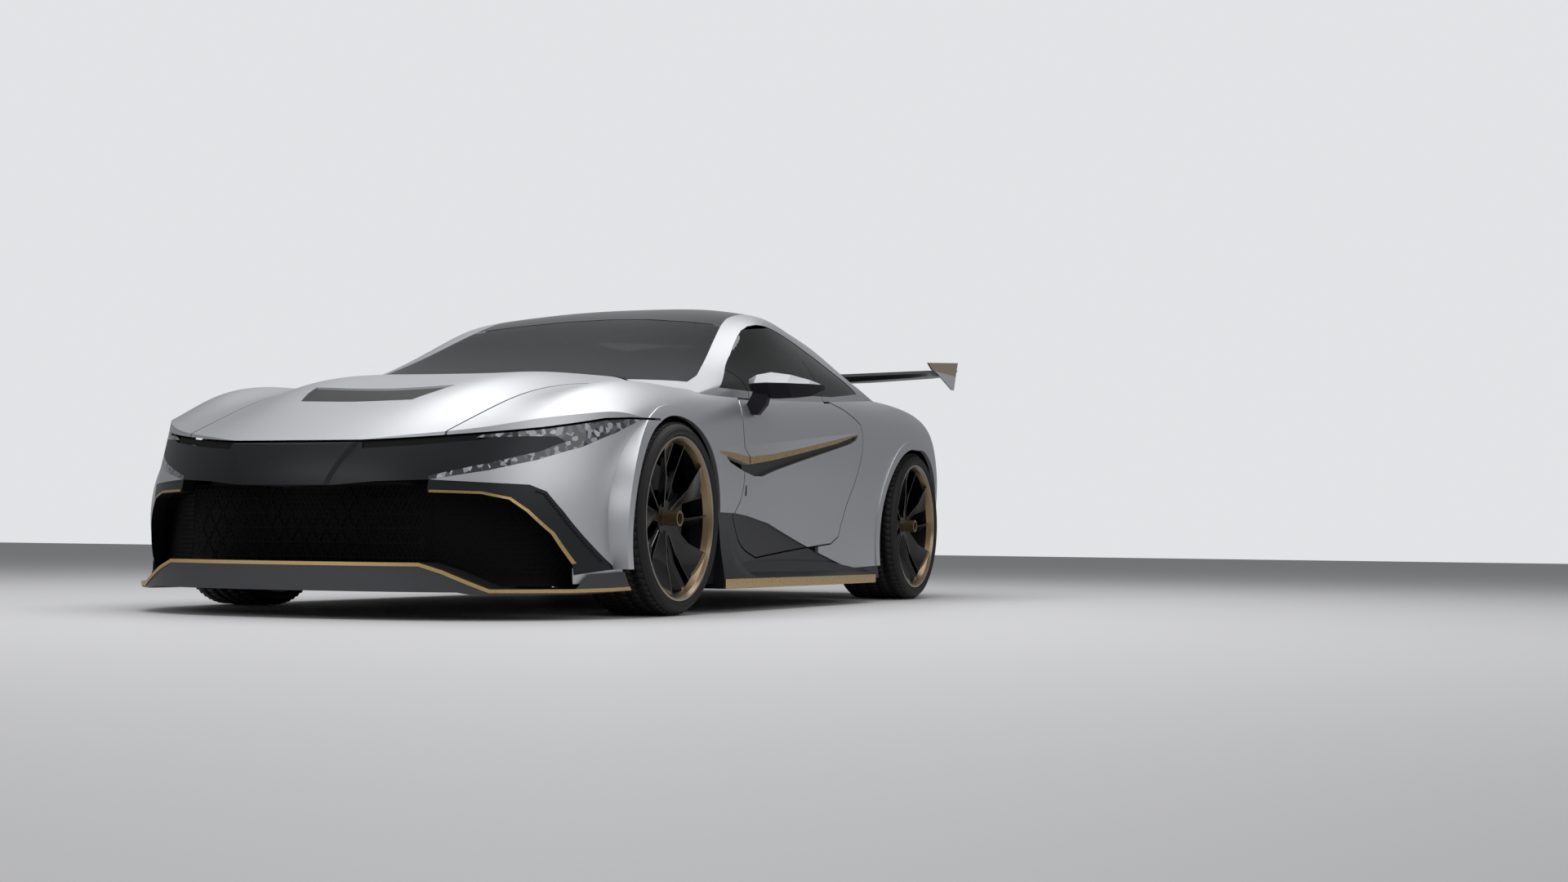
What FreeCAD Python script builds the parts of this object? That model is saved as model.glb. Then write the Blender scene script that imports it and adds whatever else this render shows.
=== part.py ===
import FreeCAD, Part
import math
import os

# A hypercar in millimetres. The nose points to -Y, +X is the car's own left and +Z is up.
# The origin is on the ground, halfway between the axles.
V = FreeCAD.Vector

# Driving sizes
WHEELBASE = 2830.0
FRONT_AXLE_Y = -WHEELBASE / 2
REAR_AXLE_Y = WHEELBASE / 2
PANEL_GAP = 6.5
SEAM = 0.6
SKIN = 14.0
DOOR_DEPTH = 80.0
GLASS = 6.0

# Wheels and tyres
RIM_RADIUS = 298.0
FRONT_TYRE_RADIUS = 350.0
REAR_TYRE_RADIUS = 355.0
FRONT_TYRE_WIDTH = 270.0
REAR_TYRE_WIDTH = 320.0
FRONT_FACE_X = 985.0
REAR_FACE_X = 965.0
TYRE_BULGE = 6.0
ARCH_LIP = 38.0
ARCH_PROUD = 5.0
WHEEL_BAY = 470.0
WHEEL_BAY_X = 500.0
KINGPIN_X = 800.0
STUB_RADIUS = 30.0
RUNNING = 0.05
DISC_RADIUS = 200.0
DISC_THICK = 32.0
# Each wheel arch is the union of two discs, given as (y, z, radius)
FRONT_ARCH = ((-1437.0, 320.0, 392.0), (-1415.0, 350.0, 372.0))
REAR_ARCH = ((1312.0, 298.0, 425.0), (1415.0, 352.0, 372.0))

# Side columns of the lower body: heights of sill, low, waist, mid and shoulder
COLUMN_Z = (110.0, 240.0, 400.0, 560.0, 690.0)

# Lower body, one row per station along the car:
# y, x of the five side columns, then (x, z) of corner, crest, fall, valley, bulge and inner, z of the centre
LOWER_ROWS = (
    (-2650, (960, 970, 980, 975, 935),
     (860, 520), (740, 500), (620, 480), (500, 470), (340, 460), (180, 455), 450),
    (-2350, (965, 975, 985, 980, 940),
     (870, 605), (750, 605), (630, 598), (500, 595), (330, 603), (180, 608), 610),
    (-2080, (970, 980, 990, 975, 930),
     (868, 610), (752, 655), (637, 665), (510, 690), (360, 735), (190, 738), 735),
    (-1780, (975, 985, 995, 990, 955),
     (902, 738), (790, 832), (660, 802), (530, 782), (395, 850), (200, 832), 826),
    (-1415, (985, 1000, 1012, 1010, 990),
     (930, 795), (800, 880), (676, 850), (545, 840), (425, 908), (210, 897), 892),
    (-1050, (965, 972, 980, 982, 975),
     (935, 805), (820, 848), (690, 850), (560, 868), (440, 916), (220, 923), 925),
    (-750, (935, 935, 935, 945, 950),
     (925, 815), (850, 872), (720, 885), (590, 900), (460, 924), (230, 935), 938),
    (-300, (905, 905, 912, 928, 945),
     (930, 800), (875, 880), (760, 905), (620, 915), (480, 930), (240, 940), 942),
    (200, (905, 908, 914, 928, 942),
     (925, 820), (870, 905), (760, 925), (620, 935), (480, 940), (240, 945), 946),
    (650, (925, 928, 928, 940, 950),
     (930, 840), (870, 925), (760, 950), (620, 955), (480, 960), (240, 960), 960),
    (1050, (960, 972, 975, 980, 978),
     (950, 850), (880, 925), (770, 965), (620, 980), (480, 985), (240, 985), 985),
    (1415, (970, 1000, 1014, 1018, 1008),
     (972, 845), (895, 928), (780, 965), (630, 980), (480, 988), (240, 990), 990),
    (1800, (900, 922, 942, 952, 944),
     (918, 842), (848, 918), (745, 955), (615, 973), (475, 985), (240, 988), 988),
    (2150, (800, 820, 840, 850, 842),
     (815, 828), (750, 897), (665, 935), (565, 958), (440, 970), (220, 977), 977),
    (2450, (680, 700, 720, 735, 730),
     (710, 802), (660, 868), (600, 913), (515, 937), (400, 950), (200, 958), 958),
    (2700, (600, 620, 640, 650, 650),
     (630, 785), (590, 850), (540, 890), (460, 915), (360, 930), (180, 940), 940),
)

# Greenhouse: y, x of the foot, then (x, z) of belt, glass, rail_low, rail, edge and mid, z of the centre
GREEN_FOOT_Z = 700.0
GREEN_ROWS = (
    (-1200, 880, (870, 790), (850, 795), (805, 800), (745, 800), (665, 802), (380, 806), 806),
    (-850, 895, (890, 868), (870, 882), (828, 896), (770, 904), (690, 912), (400, 924), 928),
    (-600, 895, (892, 882), (860, 926), (812, 958), (757, 976), (675, 990), (380, 1010), 1014),
    (-300, 895, (892, 893), (845, 990), (785, 1070), (728, 1112), (650, 1128), (370, 1138), 1136),
    (0, 895, (890, 905), (825, 1046), (760, 1174), (703, 1242), (628, 1264), (350, 1266), 1254),
    (300, 895, (888, 925), (805, 1064), (724, 1182), (662, 1240), (590, 1276), (340, 1332), 1336),
    (650, 890, (880, 950), (792, 1060), (700, 1142), (630, 1198), (560, 1252), (330, 1330), 1338),
    (1000, 870, (850, 975), (770, 1034), (690, 1102), (620, 1164), (545, 1216), (320, 1268), 1282),
    (1350, 820, (795, 960), (735, 958), (680, 988), (620, 1036), (545, 1100), (320, 1162), 1182),
    (1700, 760, (740, 935), (700, 940), (650, 950), (600, 970), (530, 1002), (310, 1042), 1058),
    (2050, 720, (700, 850), (660, 860), (620, 865), (570, 870), (500, 880), (300, 890), 895),
)

# Nose wall: the columns' x, then per row z and the y of each column
WALL_X = (0, 250, 480, 680, 830, 930, 985, 1030, 1080)
NOSE_ROWS = (
    (-50, (-2420, -2410, -2360, -2260, -2100, -1860, -1600, -1250, -800)),
    (200, (-2440, -2430, -2375, -2265, -2100, -1860, -1600, -1250, -800)),
    (350, (-2455, -2440, -2370, -2250, -2080, -1850, -1590, -1240, -800)),
    (450, (-2460, -2440, -2360, -2230, -2060, -1830, -1570, -1230, -800)),
    (560, (-2430, -2405, -2320, -2190, -2020, -1800, -1550, -1220, -800)),
    (700, (-2350, -2330, -2260, -2140, -1980, -1770, -1530, -1210, -800)),
    (1000, (-2250, -2230, -2170, -2060, -1910, -1720, -1490, -1190, -800)),
)
# Tail wall, in the same form
TAIL_ROWS = (
    (-50, (2330, 2325, 2300, 2240, 2150, 2000, 1850, 1600, 1200)),
    (200, (2380, 2375, 2345, 2280, 2180, 2030, 1870, 1600, 1200)),
    (450, (2425, 2420, 2390, 2325, 2220, 2060, 1880, 1600, 1200)),
    (650, (2450, 2445, 2415, 2350, 2240, 2080, 1890, 1600, 1200)),
    (800, (2440, 2435, 2405, 2340, 2230, 2070, 1880, 1600, 1200)),
    (900, (2425, 2420, 2390, 2325, 2215, 2060, 1870, 1600, 1200)),
    (1100, (2400, 2395, 2365, 2300, 2190, 2040, 1860, 1600, 1200)),
)


def knots(count):
    return [float(i) for i in range(count - 2)]


def mults(count):
    return [4] + [1] * (count - 4) + [4]


def pole_face(rows):
    """A bicubic face over a net of poles."""
    poles = [[V(*point) for point in row] for row in rows]
    nu, nv = len(poles), len(poles[0])
    surface = Part.BSplineSurface()
    surface.buildFromPolesMultsKnots(poles, mults(nu), mults(nv), knots(nu), knots(nv), False, False, 3, 3)
    return surface.toShape()


def inset_section(points, depth):
    """The half section (x, z), moved inwards by depth along its own normals."""
    moved = []
    for i, (x, z) in enumerate(points):
        before = points[max(i - 1, 0)]
        after = points[i + 1] if i + 1 < len(points) else (-points[i - 1][0], points[i - 1][1])
        if i == 0:
            before, after = points[0], (points[0][0], points[0][1] + 1)
        tangent = V(after[0] - before[0], after[1] - before[1], 0)
        tangent.normalize()
        moved.append((x - tangent.y * depth, z + tangent.x * depth))
    return moved


def arched_solid(stations, floor_z, depth):
    """A closed solid from arch-shaped half sections, each (y, [(x, z), ...]) from the sill to the centre."""
    rows = []
    for y, points in stations:
        half = inset_section(points, depth) if depth else list(points)
        half[0] = (half[0][0], floor_z)
        half[-1] = (0.0, half[-1][1])
        rows.append([(x, y, z) for x, z in half] + [(-x, y, z) for x, z in reversed(half[:-1])])
    skin = pole_face(rows)
    closed = []
    for row in (rows[0], rows[-1]):
        edge = next(e for e in skin.Edges if all(abs(v.Y - row[0][1]) < 0.01 for v in e.Vertexes))
        base = Part.makeLine(edge.valueAt(edge.LastParameter), edge.valueAt(edge.FirstParameter))
        closed.append(Part.Face(Part.Wire([edge, base])))
    sides = [e for e in skin.Edges if abs(e.Vertexes[0].Y - e.Vertexes[-1].Y) > 10]
    ends = [Part.makeLine(V(rows[i][0][0], rows[i][0][1], floor_z), V(-rows[i][0][0], rows[i][0][1], floor_z))
            for i in (0, -1)]
    floor = Part.Face(Part.Wire(Part.__sortEdges__(sides + ends)))
    shell = Part.makeShell([skin, closed[0], closed[1], floor])
    shell.sewShape()
    solid = Part.makeSolid(Part.Shell(shell.Faces))
    if solid.Volume < 0:
        solid.reverse()
    return solid


def lower_stations():
    stations = []
    for y, columns, *tops in LOWER_ROWS:
        side = list(zip(columns, COLUMN_Z))
        stations.append((y, side + list(tops[:-1]) + [(0, tops[-1])]))
    return stations


def green_stations():
    return [(y, [(foot, GREEN_FOOT_Z)] + list(tops[:-1]) + [(0, tops[-1])]) for y, foot, *tops in GREEN_ROWS]


def wall_solid(rows, depth, way):
    """Everything behind a wall: way is +1 for the nose and -1 for the tail."""
    net = []
    for z, places in rows:
        half = [(x, y + way * depth, z) for x, y in zip(WALL_X, places)]
        net.append([(x, y, z) for x, y, z in reversed(half)] + [(-x, y, z) for x, y, z in half[1:]])
    return pole_face(net).extrude(V(0, way * 5200, 0))


def body_solid(depth):
    """The lower body, nose and tail included, moved inwards by depth."""
    floor_z = COLUMN_Z[0]
    bulk = arched_solid(lower_stations(), floor_z, depth)
    return bulk.common(wall_solid(NOSE_ROWS, depth, 1)).common(wall_solid(TAIL_ROWS, depth, -1))


# Outlines in side view, as (y, z)
HOOD_LINE = (
    (-2700, 556), (-2400, 584), (-2250, 612), (-2060, 644), (-1850, 685), (-1736, 694), (-1560, 700),
)
DOOR_LINE = (
    (-545, 1000), (-545, 884), (-640, 852), (-700, 812), (-730, 762), (-742, 700), (-738, 620),
    (-724, 540), (-728, 480), (-760, 426), (-830, 376), (-824, 356), (-753, 278), (-700, 252),
    (-643, 233), (-522, 208), (-6, 245), (341, 267), (424, 298), (448, 345), (505, 440), (575, 528),
    (612, 590), (652, 677), (674, 740), (674, 805), (630, 826), (528, 864), (401, 892), (335, 925),
    (335, 1000),
)
BLADE_LINE = (
    (-1120, 379), (-818, 379), (-664, 371), (-405, 345), (96, 245), (494, 169), (630, 158), (985, 169),
)
SIDE_GLASS_LINE = (
    (-827, 869), (-653, 942), (-449, 1034), (-357, 1080), (-260, 1128), (-190, 1160), (-120, 1185),
    (-50, 1198), (20, 1200), (80, 1193), (209, 1174), (330, 1156), (544, 1108), (679, 1056),
    (858, 985), (915, 966), (724, 947), (467, 922), (179, 907), (-155, 894), (-494, 877), (-741, 871),
)
# The belt is the strip of the greenhouse under the door glass, which swings with the door
BELT_Y = (-545.0, 335.0)
BELT_Z = (800.0, 960.0)
# The door glass stands between two seams, given as (y, z)
FRONT_SEAM = ((-530, 800), (-545, 880), (-640, 1000), (-700, 1100))
REAR_SEAM = ((335, 800), (335, 925), (280, 1073), (375, 1160), (420, 1240))

# Outlines in plan, as (x, y), left half from the centre line
BONNET_HALF = (
    (0, -2700), (500, -2700), (505, -2330), (535, -1750), (560, -1250), (590, -880), (560, -842),
    (0, -826),
)
WINDSCREEN_HALF = (
    (0, -900), (770, -900), (762, -792), (727, -671), (652, -395), (594, -168), (518, -137),
    (425, -110), (320, -82), (200, -42), (0, -16),
)
ROOF_HALF = (
    (0, -15), (200, -41), (320, -81), (425, -109), (518, -136), (593, -166), (572, -60), (570, 200),
    (566, 800), (540, 1060), (0, 1100),
)
REAR_GLASS_HALF = (
    (0, 1101), (540, 1061), (560, 1300), (530, 1720), (0, 1800),
)
BOOT_HALF = ((0, 1880), (520, 1880), (600, 1960), (590, 2240), (540, 2300), (0, 2330))
VENT_HALF = ((0, -1846), (290, -1838), (266, -1926), (228, -2026), (0, -2032))

# The vane down the side: y, x of the body behind it, z of its top crease, of the gold strip's top and bottom,
# and how far it stands out
VANE_ROWS = (
    (-1040, 975, 616, 613, 604, 3),
    (-900, 962, 633, 610, 586, 15),
    (-744, 951, 643, 601, 571, 22),
    (-476, 943, 667, 624, 599, 24),
    (-94, 938, 702, 669, 648, 22),
    (317, 938, 740, 722, 704, 13),
    (619, 940, 766, 763, 757, 3),
)
VANE_LIP = (
    (-960, 590), (-913, 572), (-749, 546), (-611, 530), (-511, 532), (-369, 561), (-82, 611),
    (208, 660), (517, 712), (600, 736), (619, 758), (317, 715), (-94, 660), (-476, 612), (-744, 590),
    (-900, 600),
)

# Outlines in front view, as (x, z), left half or left side
LAMP_LINE = (
    (488, 461), (650, 496), (764, 535), (855, 585), (912, 640), (950, 694), (934, 694), (825, 657),
    (735, 636), (613, 614), (600, 604), (735, 614), (800, 616), (820, 600), (764, 562), (650, 521),
    (488, 474),
)
NOSE_HALF = (
    (0, 434), (191, 441), (330, 454), (484, 461), (650, 496), (764, 535), (855, 585), (850, 640),
    (735, 636), (604, 596), (430, 575), (262, 563), (232, 700), (0, 700),
)
NOSE_SLOT = ((262, 563), (430, 575), (604, 596), (612, 700), (232, 700))
FACET_BACK = ((-205, 440), (205, 440), (262, 640), (-262, 640))
FACET_FRONT = ((-120, 440), (120, 440), (180, 640), (-180, 640))
INTAKE_LINE = ((494, 419), (639, 416), (712, 399), (756, 360), (814, 287), (858, 186))
INTAKE_HALF = (
    (0, 434), (191, 441), (330, 454), (488, 461), (494, 419), (639, 416), (712, 399), (756, 360),
    (814, 287), (858, 186), (861, 100), (0, 100),
)
FRAME_LINE = (
    (488, 461), (650, 454), (756, 450), (796, 429), (835, 364), (889, 256), (930, 170), (861, 150),
    (858, 186), (814, 287), (756, 360), (712, 399), (639, 416), (488, 419),
)
LIP_LINE = ((0, 188), (490, 188), (560, 164), (689, 103), (873, 103), (896, 154), (955, 161), (990, 163))
SPLITTER_FOOT = ((990, 100), (930, 92), (880, 86), (640, 84), (600, 92), (0, 92))
GOLD_LINE = ((0, 188), (490, 188), (560, 164), (689, 103), (873, 103), (930, 106), (990, 114))


def face_from(points):
    return Part.Face(Part.makePolygon(list(points) + [points[0]]))


def prism_x(outline, x0, x1):
    return face_from([V(x0, y, z) for y, z in outline]).extrude(V(x1 - x0, 0, 0))


def prism_y(outline, y0, y1):
    return face_from([V(x, y0, z) for x, z in outline]).extrude(V(0, y1 - y0, 0))


def prism_z(outline, z0, z1):
    return face_from([V(x, y, z0) for x, y in outline]).extrude(V(0, 0, z1 - z0))


def whole(half):
    """A closed outline from the half that starts and ends on the centre line."""
    return list(half) + [(-a, b) for a, b in reversed(half) if a > 0]


def ribbon(line, width):
    """A closed outline along an open line: the line and its copy moved sideways by width."""
    moved = []
    for i, (a, b) in enumerate(line):
        before, after = line[max(i - 1, 0)], line[min(i + 1, len(line) - 1)]
        tangent = V(after[0] - before[0], after[1] - before[1], 0)
        tangent.normalize()
        moved.append((a - tangent.y * width, b + tangent.x * width))
    return list(line) + moved[::-1]


def grown(outline, margin):
    """The closed outline moved outwards by a small margin, corner by corner."""
    count = len(outline)
    area = sum(outline[i - 1][0] * outline[i][1] - outline[i][0] * outline[i - 1][1] for i in range(count))
    way = margin if area > 0 else -margin
    moved = []
    for i, (a, b) in enumerate(outline):
        into = V(a - outline[i - 1][0], b - outline[i - 1][1], 0).normalize()
        out = V(outline[(i + 1) % count][0] - a, outline[(i + 1) % count][1] - b, 0).normalize()
        reach = max(1 + into.dot(out), 0.25)
        moved.append((a + way * (into.y + out.y) / reach, b - way * (into.x + out.x) / reach))
    return moved


def shrunk(outline, margin):
    """The closed outline moved inwards by a larger margin, where small corners disappear."""
    wire = face_from([V(a, b, 0) for a, b in outline]).makeOffset2D(-margin, 2).OuterWire
    return [(v.X, v.Y) for v in wire.OrderedVertexes]


def box(x0, x1, y0, y1, z0, z1):
    return Part.makeBox(x1 - x0, y1 - y0, z1 - z0, V(x0, y0, z0))


def rod(start, end, radius):
    a, b = V(*start), V(*end)
    return Part.makeCylinder(radius, (b - a).Length, a, b - a)


def mirrored(shape):
    return shape.mirror(V(0, 0, 0), V(1, 0, 0))


def fused(shapes):
    first, rest = shapes[0], shapes[1:]
    return first.fuse(rest) if rest else first


def biggest(shape):
    return max(shape.Solids, key=lambda s: s.Volume)


def gathered(shapes):
    """One compound of the solids of several shapes."""
    return Part.makeCompound([solid for shape in shapes for solid in shape.Solids])


nodes = {}


def add(name, shape):
    solids = [s for s in shape.Solids if s.Volume > 1000]
    nodes[name] = solids[0] if len(solids) == 1 else Part.makeCompound(solids)


# Master forms
outer = body_solid(0)
inner = body_solid(SKIN)
skin = outer.cut(inner)
recessed = body_solid(8)
dark_skin = recessed.cut(inner)
lower_touch = arched_solid(lower_stations(), COLUMN_Z[0], -0.4)
green_outer = arched_solid(green_stations(), GREEN_FOOT_Z, 0)
green_inner = arched_solid(green_stations(), GREEN_FOOT_Z, SKIN)
green_near = arched_solid(green_stations(), GREEN_FOOT_Z, -PANEL_GAP)
green_wall = green_outer.cut(green_inner)
green_skin = green_wall.cut(lower_touch)
glass_skin = arched_solid(green_stations(), GREEN_FOOT_Z, 2).cut(
    arched_solid(green_stations(), GREEN_FOOT_Z, 2 + GLASS))


def arch_cut(grow=0.0):
    """The four wheel openings as drums across the car."""
    return fused([Part.makeCylinder(radius + grow, 2600, V(-1300, y, z), V(1, 0, 0))
                  for y, z, radius in FRONT_ARCH + REAR_ARCH])


def side_bays():
    """The room kept free for the four wheels, inside the skin."""
    bays = []
    for axle_y, radius in ((FRONT_AXLE_Y, FRONT_TYRE_RADIUS), (REAR_AXLE_Y, REAR_TYRE_RADIUS)):
        bay = Part.makeCylinder(WHEEL_BAY, 1200, V(WHEEL_BAY_X, axle_y, radius), V(1, 0, 0))
        bays += [bay, mirrored(bay)]
    return bays


arches = arch_cut()
bays = side_bays()
LEFT = box(0, 1300, -3000, 3000, -100, 2000)
arch_lips = arched_solid(lower_stations(), COLUMN_Z[0], -ARCH_PROUD).common(box(880, 1200, -2000, 2000, 120, 900))
arch_lips = arch_lips.cut(inner).common(arch_cut(ARCH_LIP)).cut(arches)

bonnet_plan = whole(BONNET_HALF)
boot_plan = whole(BOOT_HALF)
above_hood_line = prism_x(
    [(y, z + 4) for y, z in HOOD_LINE] + [(-700, 700), (-700, 1300), (-2700, 1300)], -1200, 1200)
below_hood_line = prism_x(
    [(y, z - 4) for y, z in HOOD_LINE] + [(-1560, 100), (-2700, 100)], -1200, 1200)
above_blade = prism_x(list(BLADE_LINE) + [(985, 1400), (-1120, 1400)], 300, 1200)
below_blade = prism_x([(y, z - SEAM) for y, z in BLADE_LINE] + [(985, 100), (-1120, 100)], 300, 1200)
door_room = prism_x(grown(DOOR_LINE, PANEL_GAP), 300, 1200)
behind_arch = box(300, 1200, -1120, 985, 0, 1400)


def side_vane():
    """The wedge down the side, silver, and the gold strip along its edge."""
    wedge, strip = [], []
    for y, x, crease, top, bottom, out in VANE_ROWS:
        edge = x + out
        wedge.append([V(x - 12, y, crease), V(x, y, crease), V(edge, y, top), V(edge - 4, y, top),
                      V(edge - 5, y, bottom), V(x - 12, y, bottom - 2)])
        strip.append([V(edge - 3.6, y, top), V(edge, y, top - 0.4), V(edge - 1, y, bottom),
                      V(edge - 4.6, y, bottom)])
    return [Part.makeLoft([Part.makePolygon(row + [row[0]]) for row in rows], True, True)
            for rows in (wedge, strip)]


vane_wedge, vane_strip = side_vane()
vane_recess = prism_x(VANE_LIP, 700, 1200)
vane_pocket = vane_recess.common(body_solid(-1).cut(body_solid(22)))
vane_liner = vane_recess.common(body_solid(SKIN + 2).cut(body_solid(22)))


def make_bonnet():
    """The bonnet panel with the dark vent let into it, ending short of the windscreen's foot."""
    panel = skin.common(prism_z(bonnet_plan, 450, 1200)).common(above_hood_line)
    hole = prism_z(grown(whole(VENT_HALF), SEAM), 450, 1200)
    add("bonnet_vent", dark_skin.common(prism_z(whole(VENT_HALF), 450, 1200)))
    return panel.cut([hole, green_near])


def make_front():
    """Bumper cheeks, nose panel, headlamps and the intake's frame, all cut from the nose wall."""
    front = skin.common(below_hood_line).common(box(-1200, 1200, -3000, -1560, 120, 800)).cut(arches)
    lamp = prism_y(LAMP_LINE, -2600, -1600)
    lamps = lamp.fuse(mirrored(lamp))
    lamp_hole = prism_y(grown(LAMP_LINE, SEAM), -2600, -1600)
    lamp_holes = lamp_hole.fuse(mirrored(lamp_hole))
    nose = prism_y(whole(NOSE_HALF), -2600, -1600)
    nose_hole = prism_y(grown(whole(NOSE_HALF), SEAM), -2600, -1600)
    slot = prism_y(grown(NOSE_SLOT, -SEAM), -2600, -1600)
    slots = slot.fuse(mirrored(slot))
    frame = prism_y(FRAME_LINE, -2600, -1600)
    frame_hole = prism_y(grown(FRAME_LINE, SEAM), -2600, -1600)
    mouth = prism_y(whole(INTAKE_HALF), -2600, -1600)
    facet_wires = [Part.makePolygon([V(x, y, z) for x, z in outline + outline[:1]])
                   for outline, y in ((FACET_BACK, -2380), (FACET_FRONT, -2520))]
    facet = Part.makeLoft(facet_wires, True, True)
    facet = facet.common(wall_solid(NOSE_ROWS, -16, 1)).cut(wall_solid(NOSE_ROWS, SKIN - 2, 1))
    facet = facet.common(below_hood_line).common(nose)
    add("headlamps", front.common(lamps))
    add("nose_panel", front.common(nose).cut(lamp_holes).fuse(facet))
    splitter_room = prism_y(grown(whole(LIP_LINE + SPLITTER_FOOT), SEAM), -2700, -1600)
    cheeks = front.cut(lamp_holes).cut(nose_hole).cut(prism_y(grown(NOSE_SLOT, SEAM), -2600, -1600))
    cheeks = cheeks.cut(mirrored(prism_y(grown(NOSE_SLOT, SEAM), -2600, -1600)))
    cheeks = cheeks.cut(frame_hole).cut(mirrored(frame_hole)).cut(mouth).cut(splitter_room)
    lips = arch_lips.common(below_hood_line).common(box(0, 1200, -2000, -1560, 170, 800))
    cheek = biggest(cheeks.common(LEFT).fuse(lips.cut(lamp_holes)))
    add("front_bumper", gathered([cheek, mirrored(cheek)]))
    wall = wall_solid(NOSE_ROWS, 3, 1).common(outer).cut(wall_solid(NOSE_ROWS, 70, 1)).cut(bays)
    rim = wall.common(frame).cut(splitter_room)
    add("intake_frame", gathered([biggest(rim), mirrored(biggest(rim))]))
    nodes["nose_slots"] = dark_skin.common(slots).common(below_hood_line).cut(lamp_holes)


def make_fender():
    side = skin.common(box(300, 1200, -2700, -500, 120, 1200))
    keep = prism_x(
        [(y, z + 4) for y, z in HOOD_LINE] + [(-1560, 120), (-500, 120), (-500, 1200), (-2700, 1200)], 300, 1200)
    bonnet_room = prism_z(grown(bonnet_plan, PANEL_GAP), 450, 1300)
    lips = arch_lips.common(keep).common(box(0, 1200, -2000, -900, 170, 1200))
    side = side.common(keep).cut(arches).cut(bonnet_room).fuse(lips)
    side = side.cut(vane_pocket).fuse(vane_wedge).cut(vane_strip).cut(door_room)
    side = side.cut(box(300, 1200, -1120, -500, 0, 1400).cut(above_blade))
    return biggest(side.cut(green_outer.common(box(300, 1200, -1000, 0, 600, 1400))))


def make_door():
    """The painted panel with the door's full depth behind it, and its dark lower cladding and vane."""
    outline = prism_x(DOOR_LINE, 820, 1200)
    panel = skin.common(outline).common(above_blade).cut(vane_pocket)
    panel = panel.fuse(vane_wedge.common(outline)).cut(vane_strip)
    depth = arched_solid(lower_stations(), COLUMN_Z[0], DOOR_DEPTH)
    core_line = prism_x(shrunk(DOOR_LINE, 24), 820, 1200).common(box(0, 1200, -748, 900, 0, 1200))
    core = body_solid(SKIN - 0.5).cut(depth).common(core_line).cut(vane_pocket)
    core = core.cut(box(0, 846, -800, -680, 0, 1200))
    window = box(700, 1200, -900, 900, 1000, 1400)
    belt = green_wall.common(box(820, 1200, *BELT_Y, *BELT_Z)).cut(inner)
    belt = belt.cut(prism_x(grown(SIDE_GLASS_LINE, SEAM), 440, 1200))
    under_rails = [green_near.common(box(700, 1200, y0, y1, 700, 1200))
                   for y0, y1 in ((-900, BELT_Y[0]), (BELT_Y[1], 700))]
    painted = panel.fuse([core, belt]).cut([window] + under_rails)
    painted = biggest(painted.cut(below_blade.common(body_solid(0).cut(inner))))
    cladding = dark_skin.common(outline).common(below_blade)
    add("door_trim_left", gathered([biggest(cladding), biggest(vane_liner.common(outline))]))
    add("door_vane_left", vane_strip.common(outline))
    return painted


def make_quarter():
    side = skin.common(box(300, 1200, 200, 2600, 120, 1300))
    boot_room = prism_z(grown(boot_plan, PANEL_GAP), 700, 1300)
    tail_zone = box(0, 1200, 1900, 2700, 0, 660)
    lips = arch_lips.common(box(0, 1200, 800, 1900, 120, 1200))
    side = side.cut(arches).fuse(lips).cut(door_room).cut(boot_room).cut(tail_zone)
    side = side.cut(green_inner).cut(box(0, 300, 0, 3000, 0, 1300)).cut(behind_arch.cut(above_blade))
    return biggest(side)


def make_rear():
    tail = skin.common(box(-1200, 1200, 1900 + SEAM, 2700, 330, 660)).cut(arches)
    lamp = box(-860, 860, 1900, 2600, 600, 624)
    add("tail_lamps", tail.common(lamp))
    add("rear_bumper", tail.cut(box(-860 - SEAM, 860 + SEAM, 1900, 2600, 600 - SEAM, 624 + SEAM)))
    add("boot_lid", skin.common(prism_z(boot_plan, 800, 1200)))


def seam_zone(front, rear):
    """The part of the side glass between two seams, as a prism across the left side."""
    return prism_x(list(front) + list(reversed(rear)), 0, 1200)


def make_greenhouse():
    screen = prism_z(whole(WINDSCREEN_HALF), 500, 1500)
    roof = prism_z(whole(ROOF_HALF), 900, 1500)
    rear = prism_z(whole(REAR_GLASS_HALF), 900, 1500)
    side = prism_x(SIDE_GLASS_LINE, 440, 1200)
    side_room = prism_x(grown(SIDE_GLASS_LINE, SEAM), 440, 1200)
    clear = lower_touch
    add("windscreen", biggest(glass_skin.common(screen).cut(clear)))
    add("roof_panel", biggest(green_skin.common(roof)))
    rear_window = biggest(glass_skin.common(rear).cut(clear))
    frame = green_skin
    for cut in (prism_z(grown(whole(WINDSCREEN_HALF), SEAM), 500, 1500),
                prism_z(grown(whole(ROOF_HALF), SEAM), 900, 1500),
                prism_z(grown(whole(REAR_GLASS_HALF), SEAM), 900, 1500)):
        frame = frame.cut(cut)
    left = frame.common(LEFT).cut(side_room)
    left = left.cut(box(700, 1200, BELT_Y[0] - PANEL_GAP, BELT_Y[1] + PANEL_GAP, *BELT_Z))
    left = gathered([solid for solid in left.Solids if solid.Volume > 2e5])
    add("roof_rails", gathered([left, mirrored(left)]))
    panes = glass_skin.common(side).cut(clear)
    ahead = [(y - PANEL_GAP, z) for y, z in FRONT_SEAM]
    behind = [(y + PANEL_GAP, z) for y, z in REAR_SEAM]
    door_glass = biggest(panes.common(seam_zone(FRONT_SEAM, REAR_SEAM)))
    front_light = biggest(panes.common(seam_zone([(-1300, 700), (-1300, 1300)], ahead)))
    quarter_glass = biggest(panes.common(seam_zone(behind, [(1400, 700), (1400, 1300)])))
    add("door_glass_left", door_glass)
    add("door_glass_right", mirrored(door_glass))
    add("rear_windows", gathered([rear_window, quarter_glass, mirrored(quarter_glass)]))
    add("quarter_lights", gathered([front_light, mirrored(front_light)]))


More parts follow.
